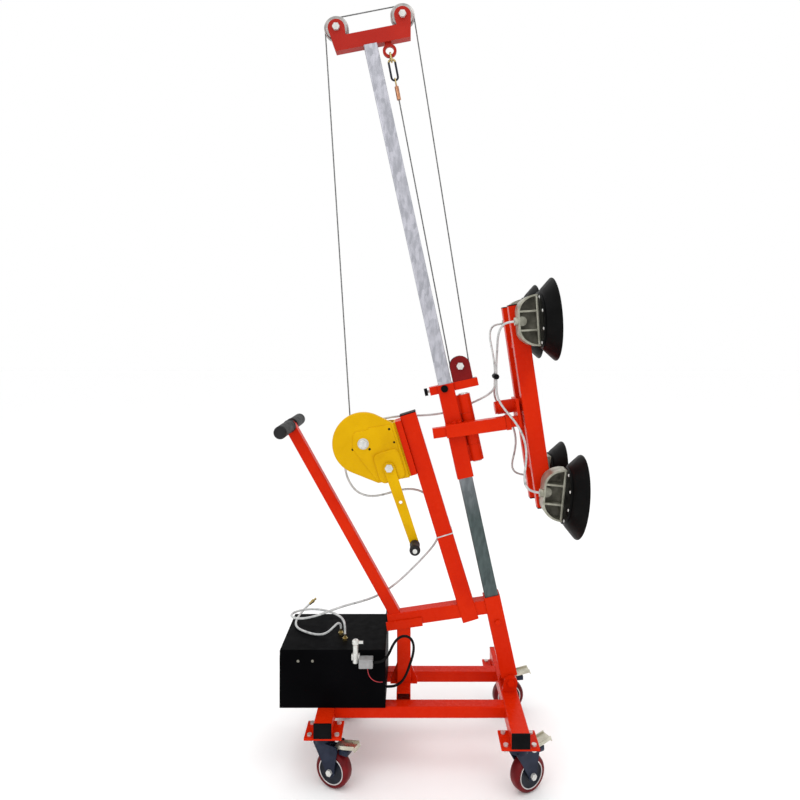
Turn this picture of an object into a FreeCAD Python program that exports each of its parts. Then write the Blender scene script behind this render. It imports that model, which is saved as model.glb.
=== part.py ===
import FreeCAD, Part
import math
import os

# Glass panel lifter: a wheeled base, a folding upper frame with a leaning mast, a winch that lifts
# a carriage, and a swinging arm with a turning frame of suction pads. Millimetres, +X forward
# (towards the pads), +Z up, origin on the floor in the middle of the footprint.

V = FreeCAD.Vector

# Base
front_x = 304.0
rear_x = -345.0
cross_width = 60.0
cross_height = 50.0
base_top = 230.0
tube_wall = 3.0
tube_corner = 4.0
front_length = 590.0
rear_length = 480.0
rail_width = 50.0
rail_height = 40.0
rail_y = 119.0
cap_thickness = 4.0
post_x = -78.0
post_size = 50.0
foot_rise = 22.0
gusset_size = 60.0
plate_thickness = 8.0

# Casters
caster_plate_x = 125.0
caster_plate_y = 100.0
bolt_spacing_x = 92.0
bolt_spacing_y = 67.0
bolt_radius = 5.0
wheel_radius = 62.0
wheel_width = 44.0
hub_radius = 46.0
trail = 38.0
fork_gap = 2.0
fork_leg = 5.0
axle_radius = 6.0
pedal_length = 66.0
pedal_width = 40.0
caster_yaw = {"front_near": 30.0, "front_far": 8.0, "rear_near": -25.0, "rear_far": 16.0}

# Upper frame
pivot_x = 310.0
pivot_rise = 32.0
pivot_radius = 8.0
barrel_radius = 24.0
mast_lean = 12.4
mast_size = 50.0
mast_start = 70.0
socket_size = 60.0
socket_wall = 4.7
socket_top = 311.0
lock_z = 475.0
lock_radius = 6.0
lug_thickness = 10.0
beam_size = 50.0
beam_tilt = 8.3
beam_rear_x = -136.0
beam_mid_x = 116.0
beam_mid_z = 510.0
column_size = 60.0
column_lean = 17.0
column_foot_x = 149.0
column_foot_z = 536.0
column_length = 727.0
handle_size = 40.0
handle_foot_x = -111.0
handle_foot_z = 499.0
handle_top_x = -496.0
handle_top_z = 1187.0
grip_bar_radius = 16.0
grip_bar_length = 380.0
grip_radius = 22.5
grip_gap = 22.0
saddle_length = 131.0
saddle_height = 31.0
saddle_wall = 5.0

# Top beam
top_reach = 111.6237
top_rear_z = 2647.0
top_tilt = 11.0
top_span = 247.7
top_depth = 54.0
top_rise = 86.0
ear_radius = 31.0
cheek_thickness = 6.0
cheek_gap = 24.0
top_sheave_radius = 45.0
sheave_width = 20.0
groove_depth = 6.0
sheave_pin_radius = 8.0
eye_radius = 25.5
eye_bore = 15.0
eye_along = 177.0
eye_half = 5.0

# Winch
drum_x = -223.0
drum_z = 1130.0
gear_radius = 100.0
pinion_radius = 25.0
crank_bearing = -41.7
drum_core = 45.0
drum_flange = 68.0
drum_width = 72.0
shaft_radius = 9.0
crank_shaft_radius = 8.0
cover_radius = 112.0
cover_wall = 3.0
cover_foot_x = 54.0
cover_foot_drop = 142.0
side_plate = 4.0
gear_width = 12.0
mount_block = 22.0
mount_low = 512.0
mount_high = 715.0
crank_length = 286.0
crank_lean = 18.7
crank_width = 40.0
crank_thickness = 6.0
crank_grip_length = 74.0
crank_grip_radius = 18.0
rope_radius = 2.6
rope_gap = 0.3
rope_turns = 5
rope_pitch = 6.0
hose_radius = 4.0
cable_radius = 4.5

# Carriage, arm and head
sleeve_low = 755.0
sleeve_high = 1104.0
sleeve_size = 60.0
sleeve_wall = 4.7
bracket_height = 30.0
bracket_reach = 120.0
bracket_width = 40.0
lift_sheave_n = 68.0
lift_sheave_s = 1157.0
lift_sheave_radius = 38.0
block_radius = 37.0
knuckle_n = 58.0
knuckle_radius = 24.0
knuckle_low = 807.0
knuckle_turn_low = 868.0
knuckle_turn_high = 985.0
knuckle_high = 1053.0
hinge_pin_radius = 12.0
arm_tilt = 8.3
arm_x = 157.0
arm_z = 1185.0
arm_y = -55.0
arm_size = 46.0
arm_wall = 4.7
arm_rear = -83.0
arm_front = 132.0
slide_size = 36.0
slide_wall = 3.0
slide_rear = -131.0
head_x = 310.0
head_z = 1259.0
hub_outer = 25.0
hub_length = 92.0
spindle_radius = 19.0
head_plate = 10.0
bar_a = 65.7
bar_width = 60.0
bar_depth = 40.0
bar_y = 75.0
bar_overhang = 59.5
bar_wall = 3.0
pad_y = 150.0
pad_b = 301.5
pin_a = 70.0
pad_pin_radius = 8.0
pad_tilt = {"upper": 3.5, "lower": -6.0}
flange_h = 60.0
flange_radius = 97.0
flange_thickness = 6.0
dome_radius = 90.0
dome_depth = 78.0
dome_top_radius = 34.0
dome_width = 68.0
dome_wall = 6.0
dome_web = 12.0
rib_u = 33.0
rib_width = 6.5
rib_drop = 3.0
boss_radius = 17.0
lip_radius = 144.0
rubber_depth = 46.0
rubber_wall = 9.0
nose_length = 12.0

# Pump box
box_rear = -506.0
box_front = -140.0
box_half_width = 150.0
box_height = 182.0
lid_height = 18.0
box_wall = 2.5
valve_x = -242.0
valve_z = 393.0
valve_radius = 9.0
valve_height = 62.0
plug_x = -206.0
plug_length = 48.0
nipple_height = 22.0
manifold_x = 258.0
manifold_z = 1369.0
manifold_radius = 10.0
plug_z = 396.0

# Fits
run_fit = 0.08
seat_gap = 0.5
side_gap = 1.0

# Worked-out places
tube_low = base_top - cross_height
caster_top = tube_low - plate_thickness
pivot_z = base_top + pivot_rise
top_rear_x = pivot_x - (top_rear_z - pivot_z) * math.tan(math.radians(mast_lean)) - top_reach
post_foot_top = base_top + foot_rise
box_floor = base_top
box_lid_z = box_floor + box_height
bar_half = pad_b + bar_overhang


def turn(angle):
    rad = math.radians(angle)
    return math.cos(rad), math.sin(rad)


def at(x0, z0, angle, along, up):
    # Point along and square to a line that rises from +X by angle
    c, s = turn(angle)
    return x0 + along * c - up * s, z0 + along * s + up * c


def mast_at(n, s):
    # Point n in front of the mast axis and s up it from the fold pivot
    return at(pivot_x, pivot_z, mast_lean, n, s)


def column_at(along, left):
    return at(column_foot_x, column_foot_z, column_lean, -left, along)


def beam_at(along, up):
    return at(beam_mid_x, beam_mid_z, beam_tilt, along, up)


def top_at(along, up):
    # Point on the top beam, from the rear sheave along the beam and up from its bottom edge
    return at(top_rear_x, top_rear_z, top_tilt, along, up - top_rise)


def arm_at(along, up):
    return at(arm_x, arm_z, arm_tilt, along, up)


def head_at(along, up):
    return at(head_x, head_z, arm_tilt, along, up)


def p3(point, y=0.0):
    return V(point[0], y, point[1])


def block(x0, x1, y0, y1, z0, z1):
    return Part.makeBox(x1 - x0, y1 - y0, z1 - z0, V(x0, y0, z0))


def rod(start, along, radius, length):
    return Part.makeCylinder(radius, length, start, along)


def rod_y(point, radius, y0, y1):
    return Part.makeCylinder(radius, y1 - y0, p3(point, y0), V(0, 1, 0))


def hex_y(point, radius, y0, y1):
    corners = []
    for i in range(7):
        c, s = turn(60 * i)
        corners.append(p3((point[0] + radius * c, point[1] + radius * s), y0))
    return Part.Face(Part.makePolygon(corners)).extrude(V(0, y1 - y0, 0))


def plate_y(points, y0, y1):
    corners = [p3(q, y0) for q in points]
    return Part.Face(Part.makePolygon(corners + corners[:1])).extrude(V(0, y1 - y0, 0))


def fuse(shapes):
    return shapes[0].fuse(list(shapes[1:])).removeSplitter()


def moved(shape, origin, ex, ey, ez):
    out = shape.copy()
    place = FreeCAD.Placement(FreeCAD.Matrix(
        ex.x, ey.x, ez.x, origin.x, ex.y, ey.y, ez.y, origin.y, ex.z, ey.z, ez.z, origin.z, 0, 0, 0, 1))
    out.Placement = place.multiply(shape.Placement)
    return out


def rounded(width, depth, radius):
    solid = Part.makeBox(width, depth, 1, V(-width / 2, -depth / 2, 0))
    upright = [e for e in solid.Edges if abs(e.Vertexes[0].Z - e.Vertexes[1].Z) > 0.5]
    face = solid.makeFillet(radius, upright)
    return [f for f in face.Faces if abs(f.CenterOfMass.z) < 1e-6][0]


def tube(start, end, width, depth, wall, solid=False):
    # Rounded square tube; width lies in the side view, depth along Y (or Z on a tube along Y)
    axis = end - start
    length = axis.Length
    ez = axis / length
    ey = V(0, 1, 0) if abs(ez.y) < 0.5 else V(0, 0, 1)
    ex = ey.cross(ez)
    body = rounded(width, depth, tube_corner).extrude(V(0, 0, length))
    if not solid:
        inner = rounded(width - 2 * wall, depth - 2 * wall, tube_corner / 2)
        body = body.cut(inner.extrude(V(0, 0, length)))
    return moved(body, start, ex, ey, ez)


def spun(profile, origin, axis, side):
    # Solid of revolution of (radius, height) points about an axis through origin
    face = Part.Face(Part.makePolygon([V(r, 0, h) for r, h in profile + profile[:1]]))
    body = face.revolve(V(0, 0, 0), V(0, 0, 1), 360)
    return moved(body, origin, side, axis.cross(side), axis)


def bolt_y(point, radius, y_head, y_nut):
    # Hex bolt along Y with its head before y_head and its nut past y_nut
    head = 0.8 * radius
    parts = [rod_y(point, radius, y_head - head, y_nut + 2 * head)]
    parts.append(hex_y(point, 1.75 * radius, y_head - 1.3 * radius, y_head))
    parts.append(hex_y(point, 1.75 * radius, y_nut, y_nut + 1.3 * radius))
    return fuse(parts)


# Sheave with a round-bottomed rope groove, bored for its pin.
def sheave(point, radius, pin_radius):
    half = sheave_width / 2
    bore = pin_radius + run_fit
    floor = radius - groove_depth
    outline = [(bore, -half), (0.62 * radius, -half), (0.68 * radius, -0.7 * half), (0.86 * radius,
            -0.7 * half)]
    outline += [(radius, -half), (floor, -rope_radius - rope_gap), (floor, rope_radius + rope_gap), (radius,
            half)]
    outline += [(0.86 * radius, 0.7 * half), (0.68 * radius, 0.7 * half), (0.62 * radius, half)]
    outline += [(bore, half)]
    return spun(outline, p3(point), V(0, 1, 0), V(1, 0, 0))


def unit(v):
    return v / v.Length


def arc(start, middle, end):
    return Part.Arc(start, middle, end).toShape()


# Tangent arc that rounds a corner of a path, and its radius.
def bend(before, corner, after, reach):
    back = unit(before - corner)
    ahead = unit(after - corner)
    half_turn = (math.pi - back.getAngle(ahead)) / 2
    radius = reach / math.tan(half_turn)
    middle = corner + unit(back + ahead) * (radius / math.cos(half_turn) - radius)
    return arc(corner + back * reach, middle, corner + ahead * reach), radius


# Round tube along joined lines and arcs.
def pipe(name, edges, radius):
    path = Part.Wire(edges)
    start = edges[0].valueAt(edges[0].FirstParameter)
    heading = edges[0].tangentAt(edges[0].FirstParameter)
    ring = Part.Wire(Part.makeCircle(radius, start, heading))
    solid = path.makePipeShell([ring], True, False)
    ratio = solid.Volume / (math.pi * radius ** 2 * path.Length)
    print(name, "length", round(path.Length), "volume ratio", round(ratio, 4))
    return solid


# Cord along chosen points: straight runs joined by the largest tangent arcs that the runs allow.
def cord(name, points, radius):
    corners = [V(*q) for q in points]
    edges = []
    radii = []
    here = corners[0]
    for before, corner, after in zip(corners, corners[1:], corners[2:]):
        reach = 0.45 * min((before - corner).Length, (after - corner).Length)
        curve, curve_radius = bend(before, corner, after, reach)
        edges += [Part.makeLine(here, curve.valueAt(curve.FirstParameter)), curve]
        here = curve.valueAt(curve.LastParameter)
        radii.append(round(curve_radius))
    edges.append(Part.makeLine(here, corners[-1]))
    print(name, "least radius", min(radii), "radii", radii)
    return pipe(name, edges, radius)


os.makedirs("parts", exist_ok=True)


def write(name, *solids):
    shape = solids[0] if len(solids) == 1 else Part.makeCompound(list(solids))
    shape.exportStep("parts/" + name + ".step")


# Base frame
caster_places = {}
for end, x, length in (("front", front_x, front_length), ("rear", rear_x, rear_length)):
    for side, sign in (("near", -1), ("far", 1)):
        caster_places[end + "_" + side] = (x, sign * (length / 2 - caster_plate_y / 2))


def cross_tube(end, x, length):
    z = base_top - cross_height / 2
    parts = [tube(V(x, -length / 2, z), V(x, length / 2, z), cross_width, cross_height, tube_wall)]
    for name, (px, py) in caster_places.items():
        if name.startswith(end):
            pad = block(px - caster_plate_x / 2, px + caster_plate_x / 2, py - caster_plate_y / 2,
                        py + caster_plate_y / 2, caster_top, tube_low)
            for bx in (-1, 1):
                for by in (-1, 1):
                    hole = V(px + bx * bolt_spacing_x / 2, py + by * bolt_spacing_y / 2, caster_top)
                    pad = pad.cut(rod(hole, V(0, 0, 1), bolt_radius + 0.5, plate_thickness))
            parts.append(pad)
    return fuse(parts)


front_tube = cross_tube("front", front_x, front_length)
write("rear_cross_tube", cross_tube("rear", rear_x, rear_length))

rails = []
rail_z = base_top - rail_height / 2
for sign in (-1, 1):
    rails.append(tube(V(rear_x + cross_width / 2, sign * rail_y, rail_z),
                      V(front_x - cross_width / 2, sign * rail_y, rail_z), rail_height, rail_width, tube_wall))
write("side_rails", *rails)

base_caps = []
for x, length in ((front_x, front_length), (rear_x, rear_length)):
    for sign in (-1, 1):
        inner = sign * length / 2
        outer = sign * (length / 2 + cap_thickness)
        base_caps.append(block(x - cross_width / 2, x + cross_width / 2, min(inner, outer), max(inner, outer),
                               base_top - cross_height, base_top))
write("base_end_caps", *base_caps)

# Post with its foot tube, gussets and the saddle that the upper frame rests in
foot_half = rail_y - rail_width / 2
foot_z = post_foot_top - post_size / 2
beam_along = (post_x - beam_mid_x) / math.cos(math.radians(beam_tilt))
saddle_low = -beam_size / 2 - seat_gap - saddle_wall
saddle_side = beam_size / 2 + side_gap + saddle_wall


def saddle_face(up):
    ends = (beam_along - saddle_length / 2, beam_along + saddle_length / 2)
    return [beam_at(ends[0], saddle_low), beam_at(ends[1], saddle_low), beam_at(ends[1], up),
            beam_at(ends[0], up)]


foot = tube(V(post_x, -foot_half, foot_z), V(post_x, foot_half, foot_z), post_size, post_size, tube_wall)
saddle_floor = plate_y(saddle_face(saddle_low + saddle_wall), -saddle_side, saddle_side)
saddle_parts = [saddle_floor]
for sign in (-1, 1):
    inner = sign * (saddle_side - saddle_wall)
    outer = sign * saddle_side
    flange = plate_y(saddle_face(saddle_low + saddle_height), min(inner, outer), max(inner, outer))
    saddle_parts.append(flange)
saddle_top_z = beam_at(beam_along, saddle_low)[1]
post = tube(V(post_x, 0, post_foot_top), V(post_x, 0, saddle_top_z + post_size / 2), post_size, post_size,
        tube_wall)
above = plate_y([beam_at(beam_along - 200, saddle_low), beam_at(beam_along + 200, saddle_low),
                 beam_at(beam_along + 200, 200), beam_at(beam_along - 200, 200)], -100, 100)
post = post.cut(above)
gussets = []
for sign in (-1, 1):
    edge = post_x + sign * post_size / 2
    corner = [(edge, post_foot_top), (edge, post_foot_top + gusset_size), (edge + sign * 0.4 * gusset_size,
            post_foot_top)]
    gussets.append(plate_y(corner, -plate_thickness / 2, plate_thickness / 2))
ledge = block(post_x - 0.4 * gusset_size - post_size / 2, post_x + 0.4 * gusset_size + post_size / 2,
              -post_size / 2, post_size / 2, post_foot_top - plate_thickness / 2, post_foot_top)
write("rear_post", fuse([foot, post, ledge] + saddle_parts + gussets))

# Lugs and the fold bolt
lug_inner = socket_size / 2 + 2 * side_gap + 2
barrel_half = lug_inner - side_gap
lugs = []
for sign in (-1, 1):
    y0 = min(sign * lug_inner, sign * (lug_inner + lug_thickness))
    y1 = y0 + lug_thickness
    foot_half_x = cross_width / 2 - tube_corner
    web = plate_y([(front_x - foot_half_x, base_top), (front_x + foot_half_x, base_top),
                   (pivot_x + barrel_radius, pivot_z), (pivot_x - barrel_radius, pivot_z)], y0, y1)
    lug = fuse([web, rod_y((pivot_x, pivot_z), barrel_radius, y0, y1)])
    lugs.append(lug.cut(rod_y((pivot_x, pivot_z), pivot_radius + run_fit, y0, y1)))
write("front_cross_tube", fuse([front_tube] + lugs))

# Casters
wheel_z = wheel_radius
head_thickness = 4.0
race_low = caster_top - 15.0
race_radius = 36.0
crown_top = race_low - seat_gap
crown_low = crown_top - 11.0
king_radius = 8.0
leg_inner = wheel_width / 2 + fork_gap
leg_outer = leg_inner + fork_leg
pedal_x = 56.0
pedal_z = caster_top - 32.0
pedal_pin = 4.0
pedal_barrel = 8.0


def caster_head():
    top = block(-115 / 2, 115 / 2, -88 / 2, 88 / 2, caster_top - head_thickness, caster_top)
    for bx in (-1, 1):
        for by in (-1, 1):
            hole = V(bx * bolt_spacing_x / 2, by * bolt_spacing_y / 2, caster_top - head_thickness)
            top = top.cut(rod(hole, V(0, 0, 1), bolt_radius + 0.5, head_thickness))
    race = spun([(0, race_low), (race_radius, race_low), (race_radius, race_low + 5), (race_radius - 8,
            caster_top - 4),
                 (0, caster_top - 4)], V(0, 0, 0), V(0, 0, 1), V(1, 0, 0))
    king = rod(V(0, 0, crown_low - 6), V(0, 0, 1), king_radius, race_low - crown_low + 6)
    nut = rod(V(0, 0, crown_low - 8), V(0, 0, 1), king_radius * 1.7, 8 - seat_gap)
    return fuse([top, race, king, nut])


def caster_fork():
    crown = rod(V(0, 0, crown_low), V(0, 0, 1), race_radius - 2, crown_top - crown_low)
    strap = block(-26, 34, -leg_outer, leg_outer, crown_low, crown_low + 6)
    parts = [crown, strap]
    for sign in (-1, 1):
        y0 = min(sign * leg_inner, sign * leg_outer)
        y1 = y0 + fork_leg
        web = plate_y([(-26, crown_low + 6), (-26, crown_low), (trail - 15, wheel_z), (trail + 15, wheel_z),
                       (pedal_x + 10, pedal_z - 6), (pedal_x + 6, pedal_z + 9), (34, crown_low + 6)], y0, y1)
        parts += [web, rod_y((trail, wheel_z), 17, y0, y1)]
    parts.append(rod_y((trail, wheel_z), axle_radius, -leg_outer - 2, leg_outer + 2))
    parts.append(hex_y((trail, wheel_z), 11, -leg_outer - 8, -leg_outer))
    parts.append(hex_y((trail, wheel_z), 11, leg_outer, leg_outer + 8))
    parts.append(rod_y((pedal_x, pedal_z), pedal_pin, -leg_outer - 1, leg_outer + 1))
    fork = fuse(parts)
    return fork.cut(rod(V(0, 0, crown_low - 1), V(0, 0, 1), king_radius + run_fit, 30))


def caster_wheel():
    half = wheel_width / 2
    bore = axle_radius + run_fit
    hub = [(bore, -half), (14, -half), (16, -half + 6), (hub_radius - 6, -half + 6), (hub_radius - 3,
            -half + 1),
           (hub_radius, -half + 1), (hub_radius, half - 1), (hub_radius - 3, half - 1), (hub_radius - 6,
                   half - 6),
           (16, half - 6), (14, half), (bore, half)]
    rim = hub_radius + 0.05
    tread = wheel_radius
    tyre = [(rim, -half + 1), (tread - 7, -half + 1), (tread - 2, -half + 4), (tread, -half + 10),
            (tread, half - 10), (tread - 2, half - 4), (tread - 7, half - 1), (rim, half - 1)]
    centre = V(trail, 0, wheel_z)
    return [spun(outline, centre, V(0, 1, 0), V(1, 0, 0)) for outline in (hub, tyre)]


def caster_pedal():
    half = pedal_width / 2
    tip = (pedal_x + pedal_length, pedal_z + 14)
    barrel = rod_y((pedal_x, pedal_z), pedal_barrel, -half, half)
    tongue = plate_y([(pedal_x, pedal_z + 3), (pedal_x + 20, pedal_z + 4), tip, (tip[0] + 4, tip[1] - 8),
                      (tip[0] + 8, tip[1] - 8), (tip[0] + 3, tip[1] + 4), (pedal_x + 16, pedal_z + 8),
                      (pedal_x, pedal_z + 8)], -half, half)
    return fuse([barrel, tongue]).cut(rod_y((pedal_x, pedal_z), pedal_pin + run_fit, -half, half))


def caster_at(shape, name):
    x, y = caster_places[name]
    c, s = turn(caster_yaw[name])
    return moved(shape, V(x, y, 0), V(c, s, 0), V(-s, c, 0), V(0, 0, 1))


head_shape = caster_head()
fork_shape = caster_fork()
wheel_shapes = caster_wheel()
pedal_shape = caster_pedal()
heads = []
base_bolts = [bolt_y((pivot_x, pivot_z), pivot_radius, -lug_inner - lug_thickness, lug_inner + lug_thickness)]
bolt_low = caster_top - head_thickness
for name, (x, y) in caster_places.items():
    heads.append(head_shape.translated(V(x, y, 0)))
    write("caster_fork_" + name, caster_at(fork_shape, name))
    write("caster_wheel_" + name, *[caster_at(part, name) for part in wheel_shapes])
    write("caster_pedal_" + name, caster_at(pedal_shape, name))
    for bx in (-1, 1):
        for by in (-1, 1):
            foot = V(x + bx * bolt_spacing_x / 2, y + by * bolt_spacing_y / 2, bolt_low)
            shank = rod(foot - V(0, 0, 8), V(0, 0, 1), bolt_radius, tube_low - bolt_low + 14)
            nut = rod(foot - V(0, 0, 6), V(0, 0, 1), 8, 6)
            crown = rod(V(foot.x, foot.y, tube_low), V(0, 0, 1), 8, 6)
            base_bolts.append(fuse([shank, nut, crown]))
write("caster_heads", *heads)
write("base_bolts", *base_bolts)

# Pump box with its battery and pump
shell = block(box_rear, box_front, -box_half_width, box_half_width, box_floor, box_lid_z)
shell = shell.cut(block(box_rear + box_wall, box_front - box_wall, -box_half_width + box_wall,
                        box_half_width - box_wall, box_floor + box_wall, box_lid_z))
write("pump_box", shell)
lid = block(box_rear, box_front, -box_half_width, box_half_width, box_lid_z, box_lid_z + lid_height)
lid = lid.makeFillet(3, [e for e in lid.Edges if e.CenterOfMass.z > box_lid_z + 0.4 * lid_height])
lid = lid.cut(block(box_rear + box_wall, box_front - box_wall, -box_half_width + box_wall,
                    box_half_width - box_wall, box_lid_z, box_lid_z + lid_height - box_wall))
write("pump_box_lid", lid)
inner_floor = box_floor + box_wall
battery = block(box_rear + 30, box_rear + 210, -100, 30, inner_floor, inner_floor + 140)
posts = [rod(V(box_rear + x, -35, inner_floor + 140), V(0, 0, 1), 7, 12) for x in (60, 180)]
battery = fuse([battery] + posts)
pump_x = box_front - 70
pump_z = inner_floor + 45
motor = rod(V(pump_x, -60, pump_z), V(0, 1, 0), 32, 90)
pump_base = block(pump_x - 40, pump_x + 40, -60, 110, inner_floor, inner_floor + 16)
pump_head = block(pump_x - 38, pump_x + 38, 30, 90, inner_floor + 16, inner_floor + 110)
pump_stand = block(pump_x - 20, pump_x + 20, -50, 20, inner_floor + 16, inner_floor + 24)
write("pump_set", battery, fuse([pump_base, pump_head, motor, pump_stand]))

# Fittings on the box: hose nipples on the lid, the release valve and the charging plug on the front
lid_top = box_lid_z + lid_height
nipples = []
for x, y in ((-307.0, -30.0), (-287.0, -74.0)):
    nipple = spun([(0, 0), (9, 0), (9, 8), (6, 8), (6, 12), (4, 12), (4, nipple_height), (0,
            nipple_height)], V(x, y, lid_top), V(0, 0, 1),
                  V(1, 0, 0))
    nipples.append(nipple)
front_y = -box_half_width
valve_y = front_y - valve_radius - 4
valve = rod(V(valve_x, valve_y, valve_z), V(0, 0, 1), valve_radius, valve_height)
clamp = block(valve_x - 14, valve_x + 14, valve_y, front_y, valve_z + 8, valve_z + 28)
stem = rod(V(valve_x, valve_y, valve_z + valve_height), V(0, 0, 1), 3, 14)
plug = block(plug_x - plug_length / 2, plug_x + plug_length / 2, front_y - 34, front_y, plug_z - 15,
        plug_z + 15)
plug = plug.makeFillet(3, [e for e in plug.Edges if e.CenterOfMass.y < front_y - 1])
write("box_fittings", fuse([valve, clamp, stem]), plug, *nipples)
knob_z = valve_z + valve_height + seat_gap
knob = spun([(3 + run_fit, 0), (10, 0), (12, 3), (12, 12), (9, 16), (3 + run_fit, 16)], V(valve_x, valve_y,
        knob_z),
            V(0, 0, 1), V(1, 0, 0))
lever = block(valve_x, valve_x + 26, valve_y - 4, valve_y + 4, knob_z + 4, knob_z + 11)
lever = lever.cut(rod(V(valve_x, valve_y, knob_z), V(0, 0, 1), 6, 30))
write("valve_lever", fuse([knob, lever]))

# Upper frame: mast socket, beam, winch column and push handle
barrel = rod_y((pivot_x, pivot_z), barrel_radius, -barrel_half, barrel_half)
socket = tube(p3(mast_at(0, 0.6 * barrel_radius)), p3(mast_at(0, socket_top)), socket_size, socket_size,
        socket_wall)
stop = tube(p3(mast_at(0, mast_start - plate_thickness)), p3(mast_at(0, mast_start)), socket_size - 2,
        socket_size - 2,
            0, True)
socket = fuse([barrel, socket, stop]).cut(rod_y((pivot_x, pivot_z), pivot_radius + run_fit, -barrel_half,
        barrel_half))
lock_s = (lock_z - pivot_z) / math.cos(math.radians(mast_lean))
lock_at = mast_at(0, lock_s)
socket = socket.cut(rod_y(lock_at, lock_radius + 0.2, -socket_size, socket_size))
write("mast_socket", socket)
socket_envelope = tube(p3(mast_at(0, -40)), p3(mast_at(0, socket_top)), socket_size, socket_size, 0, True)

beam_rear = (beam_rear_x - beam_mid_x) / math.cos(math.radians(beam_tilt))
beam_ends = (p3(beam_at(beam_rear, 0)), p3(beam_at(160, 0)))
beam = tube(beam_ends[0], beam_ends[1], beam_size, beam_size, tube_wall).cut(socket_envelope)
beam = max(beam.Solids, key=lambda s: s.Volume)
write("lower_beam", beam)
beam_envelope = tube(beam_ends[0], beam_ends[1], beam_size, beam_size, 0, True)

column = tube(p3(column_at(-60, 0)), p3(column_at(column_length, 0)), column_size, column_size, tube_wall)
column = max(column.cut(beam_envelope).cut(socket_envelope).Solids, key=lambda s: s.Volume)
left = column_size / 2
mount_half = 46.0
mount_corners = [column_at(mount_low, left), column_at(mount_high, left), column_at(mount_high,
        left + mount_block),
                 column_at(mount_low, left + mount_block)]
write("winch_column", fuse([column, plate_y(mount_corners, -mount_half, mount_half)]))

handle_foot = V(handle_foot_x, 0, handle_foot_z)
handle_top = V(handle_top_x, 0, handle_top_z)
run = (handle_top - handle_foot) / (handle_top - handle_foot).Length
handle = tube(handle_foot - run * 60, handle_top, handle_size, handle_size, tube_wall)
handle = max(handle.cut(beam_envelope).Solids, key=lambda s: s.CenterOfMass.z)
bar = rod_y((handle_top_x, handle_top_z), grip_bar_radius, -grip_bar_length / 2, grip_bar_length / 2)
write("push_handle", fuse([handle, bar]))
grips = []
for sign in (-1, 1):
    half = grip_bar_length / 2
    outline = [(grip_bar_radius + 0.05, 0), (grip_radius + 1.5, 0), (grip_radius + 1.5, 8), (grip_radius, 10),
               (grip_radius, half - grip_gap), (grip_radius - 3, half - grip_gap + 5), (0, half - grip_gap + 5),
               (0, half - grip_gap + 0.2), (grip_bar_radius + 0.05, half - grip_gap + 0.2)]
    grips.append(spun(outline, V(handle_top_x, sign * grip_gap, handle_top_z), V(0, sign, 0), V(1, 0, 0)))
write("handle_grips", *grips)

# Mast and top beam
base_line = [top_at(-300, 0), top_at(600, 0), top_at(600, 400), top_at(-300, 400)]
mast_length = (top_rear_z - pivot_z) / math.cos(math.radians(mast_lean)) + 100
mast = tube(p3(mast_at(0, mast_start)), p3(mast_at(0, mast_length)), mast_size, mast_size, tube_wall)
mast = mast.cut(plate_y(base_line, -200, 200))
mast = mast.cut(rod_y(lock_at, lock_radius + 0.2, -mast_size, mast_size))
write("mast", mast)

cheek_out = cheek_gap / 2 + cheek_thickness
cheek = [(-18, 0), (top_span + 14, 0), (top_span + ear_radius, top_rise), (top_span - ear_radius, top_rise),
         (top_span - ear_radius + 3, top_depth), (ear_radius - 2, top_depth), (ear_radius, top_rise),
         (-ear_radius, top_rise)]
rear_pin = top_at(0, top_rise)
front_pin = top_at(top_span, top_rise)
top_parts = []
for sign in (-1, 1):
    y0 = min(sign * cheek_gap / 2, sign * cheek_out)
    side = [plate_y([top_at(*q) for q in cheek], y0, y0 + cheek_thickness)]
    for pin in (rear_pin, front_pin):
        side.append(rod_y(pin, ear_radius, y0, y0 + cheek_thickness))
    side = fuse(side)
    for pin in (rear_pin, front_pin):
        side = side.cut(rod_y(pin, sheave_pin_radius, y0, y0 + cheek_thickness))
    top_parts.append(side)
web = [top_at(-17, 0), top_at(top_span + 14, 0), top_at(top_span + 15, cheek_thickness), top_at(-18,
        cheek_thickness)]
top_parts.append(plate_y(web, -cheek_gap / 2, cheek_gap / 2))
plug_size = mast_size - 2 * tube_wall - 2 * seat_gap
mast_angle = top_tilt - mast_lean
crossing = ((pivot_x - top_rear_x) * math.cos(math.radians(mast_lean)) + (pivot_z - top_rear_z)
            * math.sin(math.radians(mast_lean))) / math.cos(math.radians(mast_angle))
mast_s = (top_at(crossing, 0)[1] - pivot_z) / math.cos(math.radians(mast_lean))
plug_tube = tube(p3(mast_at(0, mast_s - 90)), p3(mast_at(0, mast_s + 40)), plug_size, plug_size, 4)
plug_tube = plug_tube.cut(plate_y(base_line, -200, 200))
eye_at = top_at(eye_along, -eye_radius - 4)
eye = rod_y(eye_at, eye_radius, -eye_half, eye_half).cut(rod_y(eye_at, eye_bore, -eye_half, eye_half))
neck = plate_y([top_at(eye_along - 12, 0), top_at(eye_along + 12, 0), top_at(eye_along + 12, -10),
                top_at(eye_along - 12, -10)], -eye_half, eye_half).cut(rod_y(eye_at, eye_bore, -eye_half,
                        eye_half))
write("top_beam", fuse(top_parts + [plug_tube, eye, neck]))

frame_bolts = []
for pin in (rear_pin, front_pin):
    frame_bolts.append(bolt_y(pin, sheave_pin_radius, -cheek_out, cheek_out))
frame_bolts.append(bolt_y(lock_at, lock_radius, -socket_size / 2, socket_size / 2))
write("frame_bolts", *frame_bolts)
write("rear_top_sheave", sheave(rear_pin, top_sheave_radius, sheave_pin_radius))
write("front_top_sheave", sheave(front_pin, top_sheave_radius, sheave_pin_radius))

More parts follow.
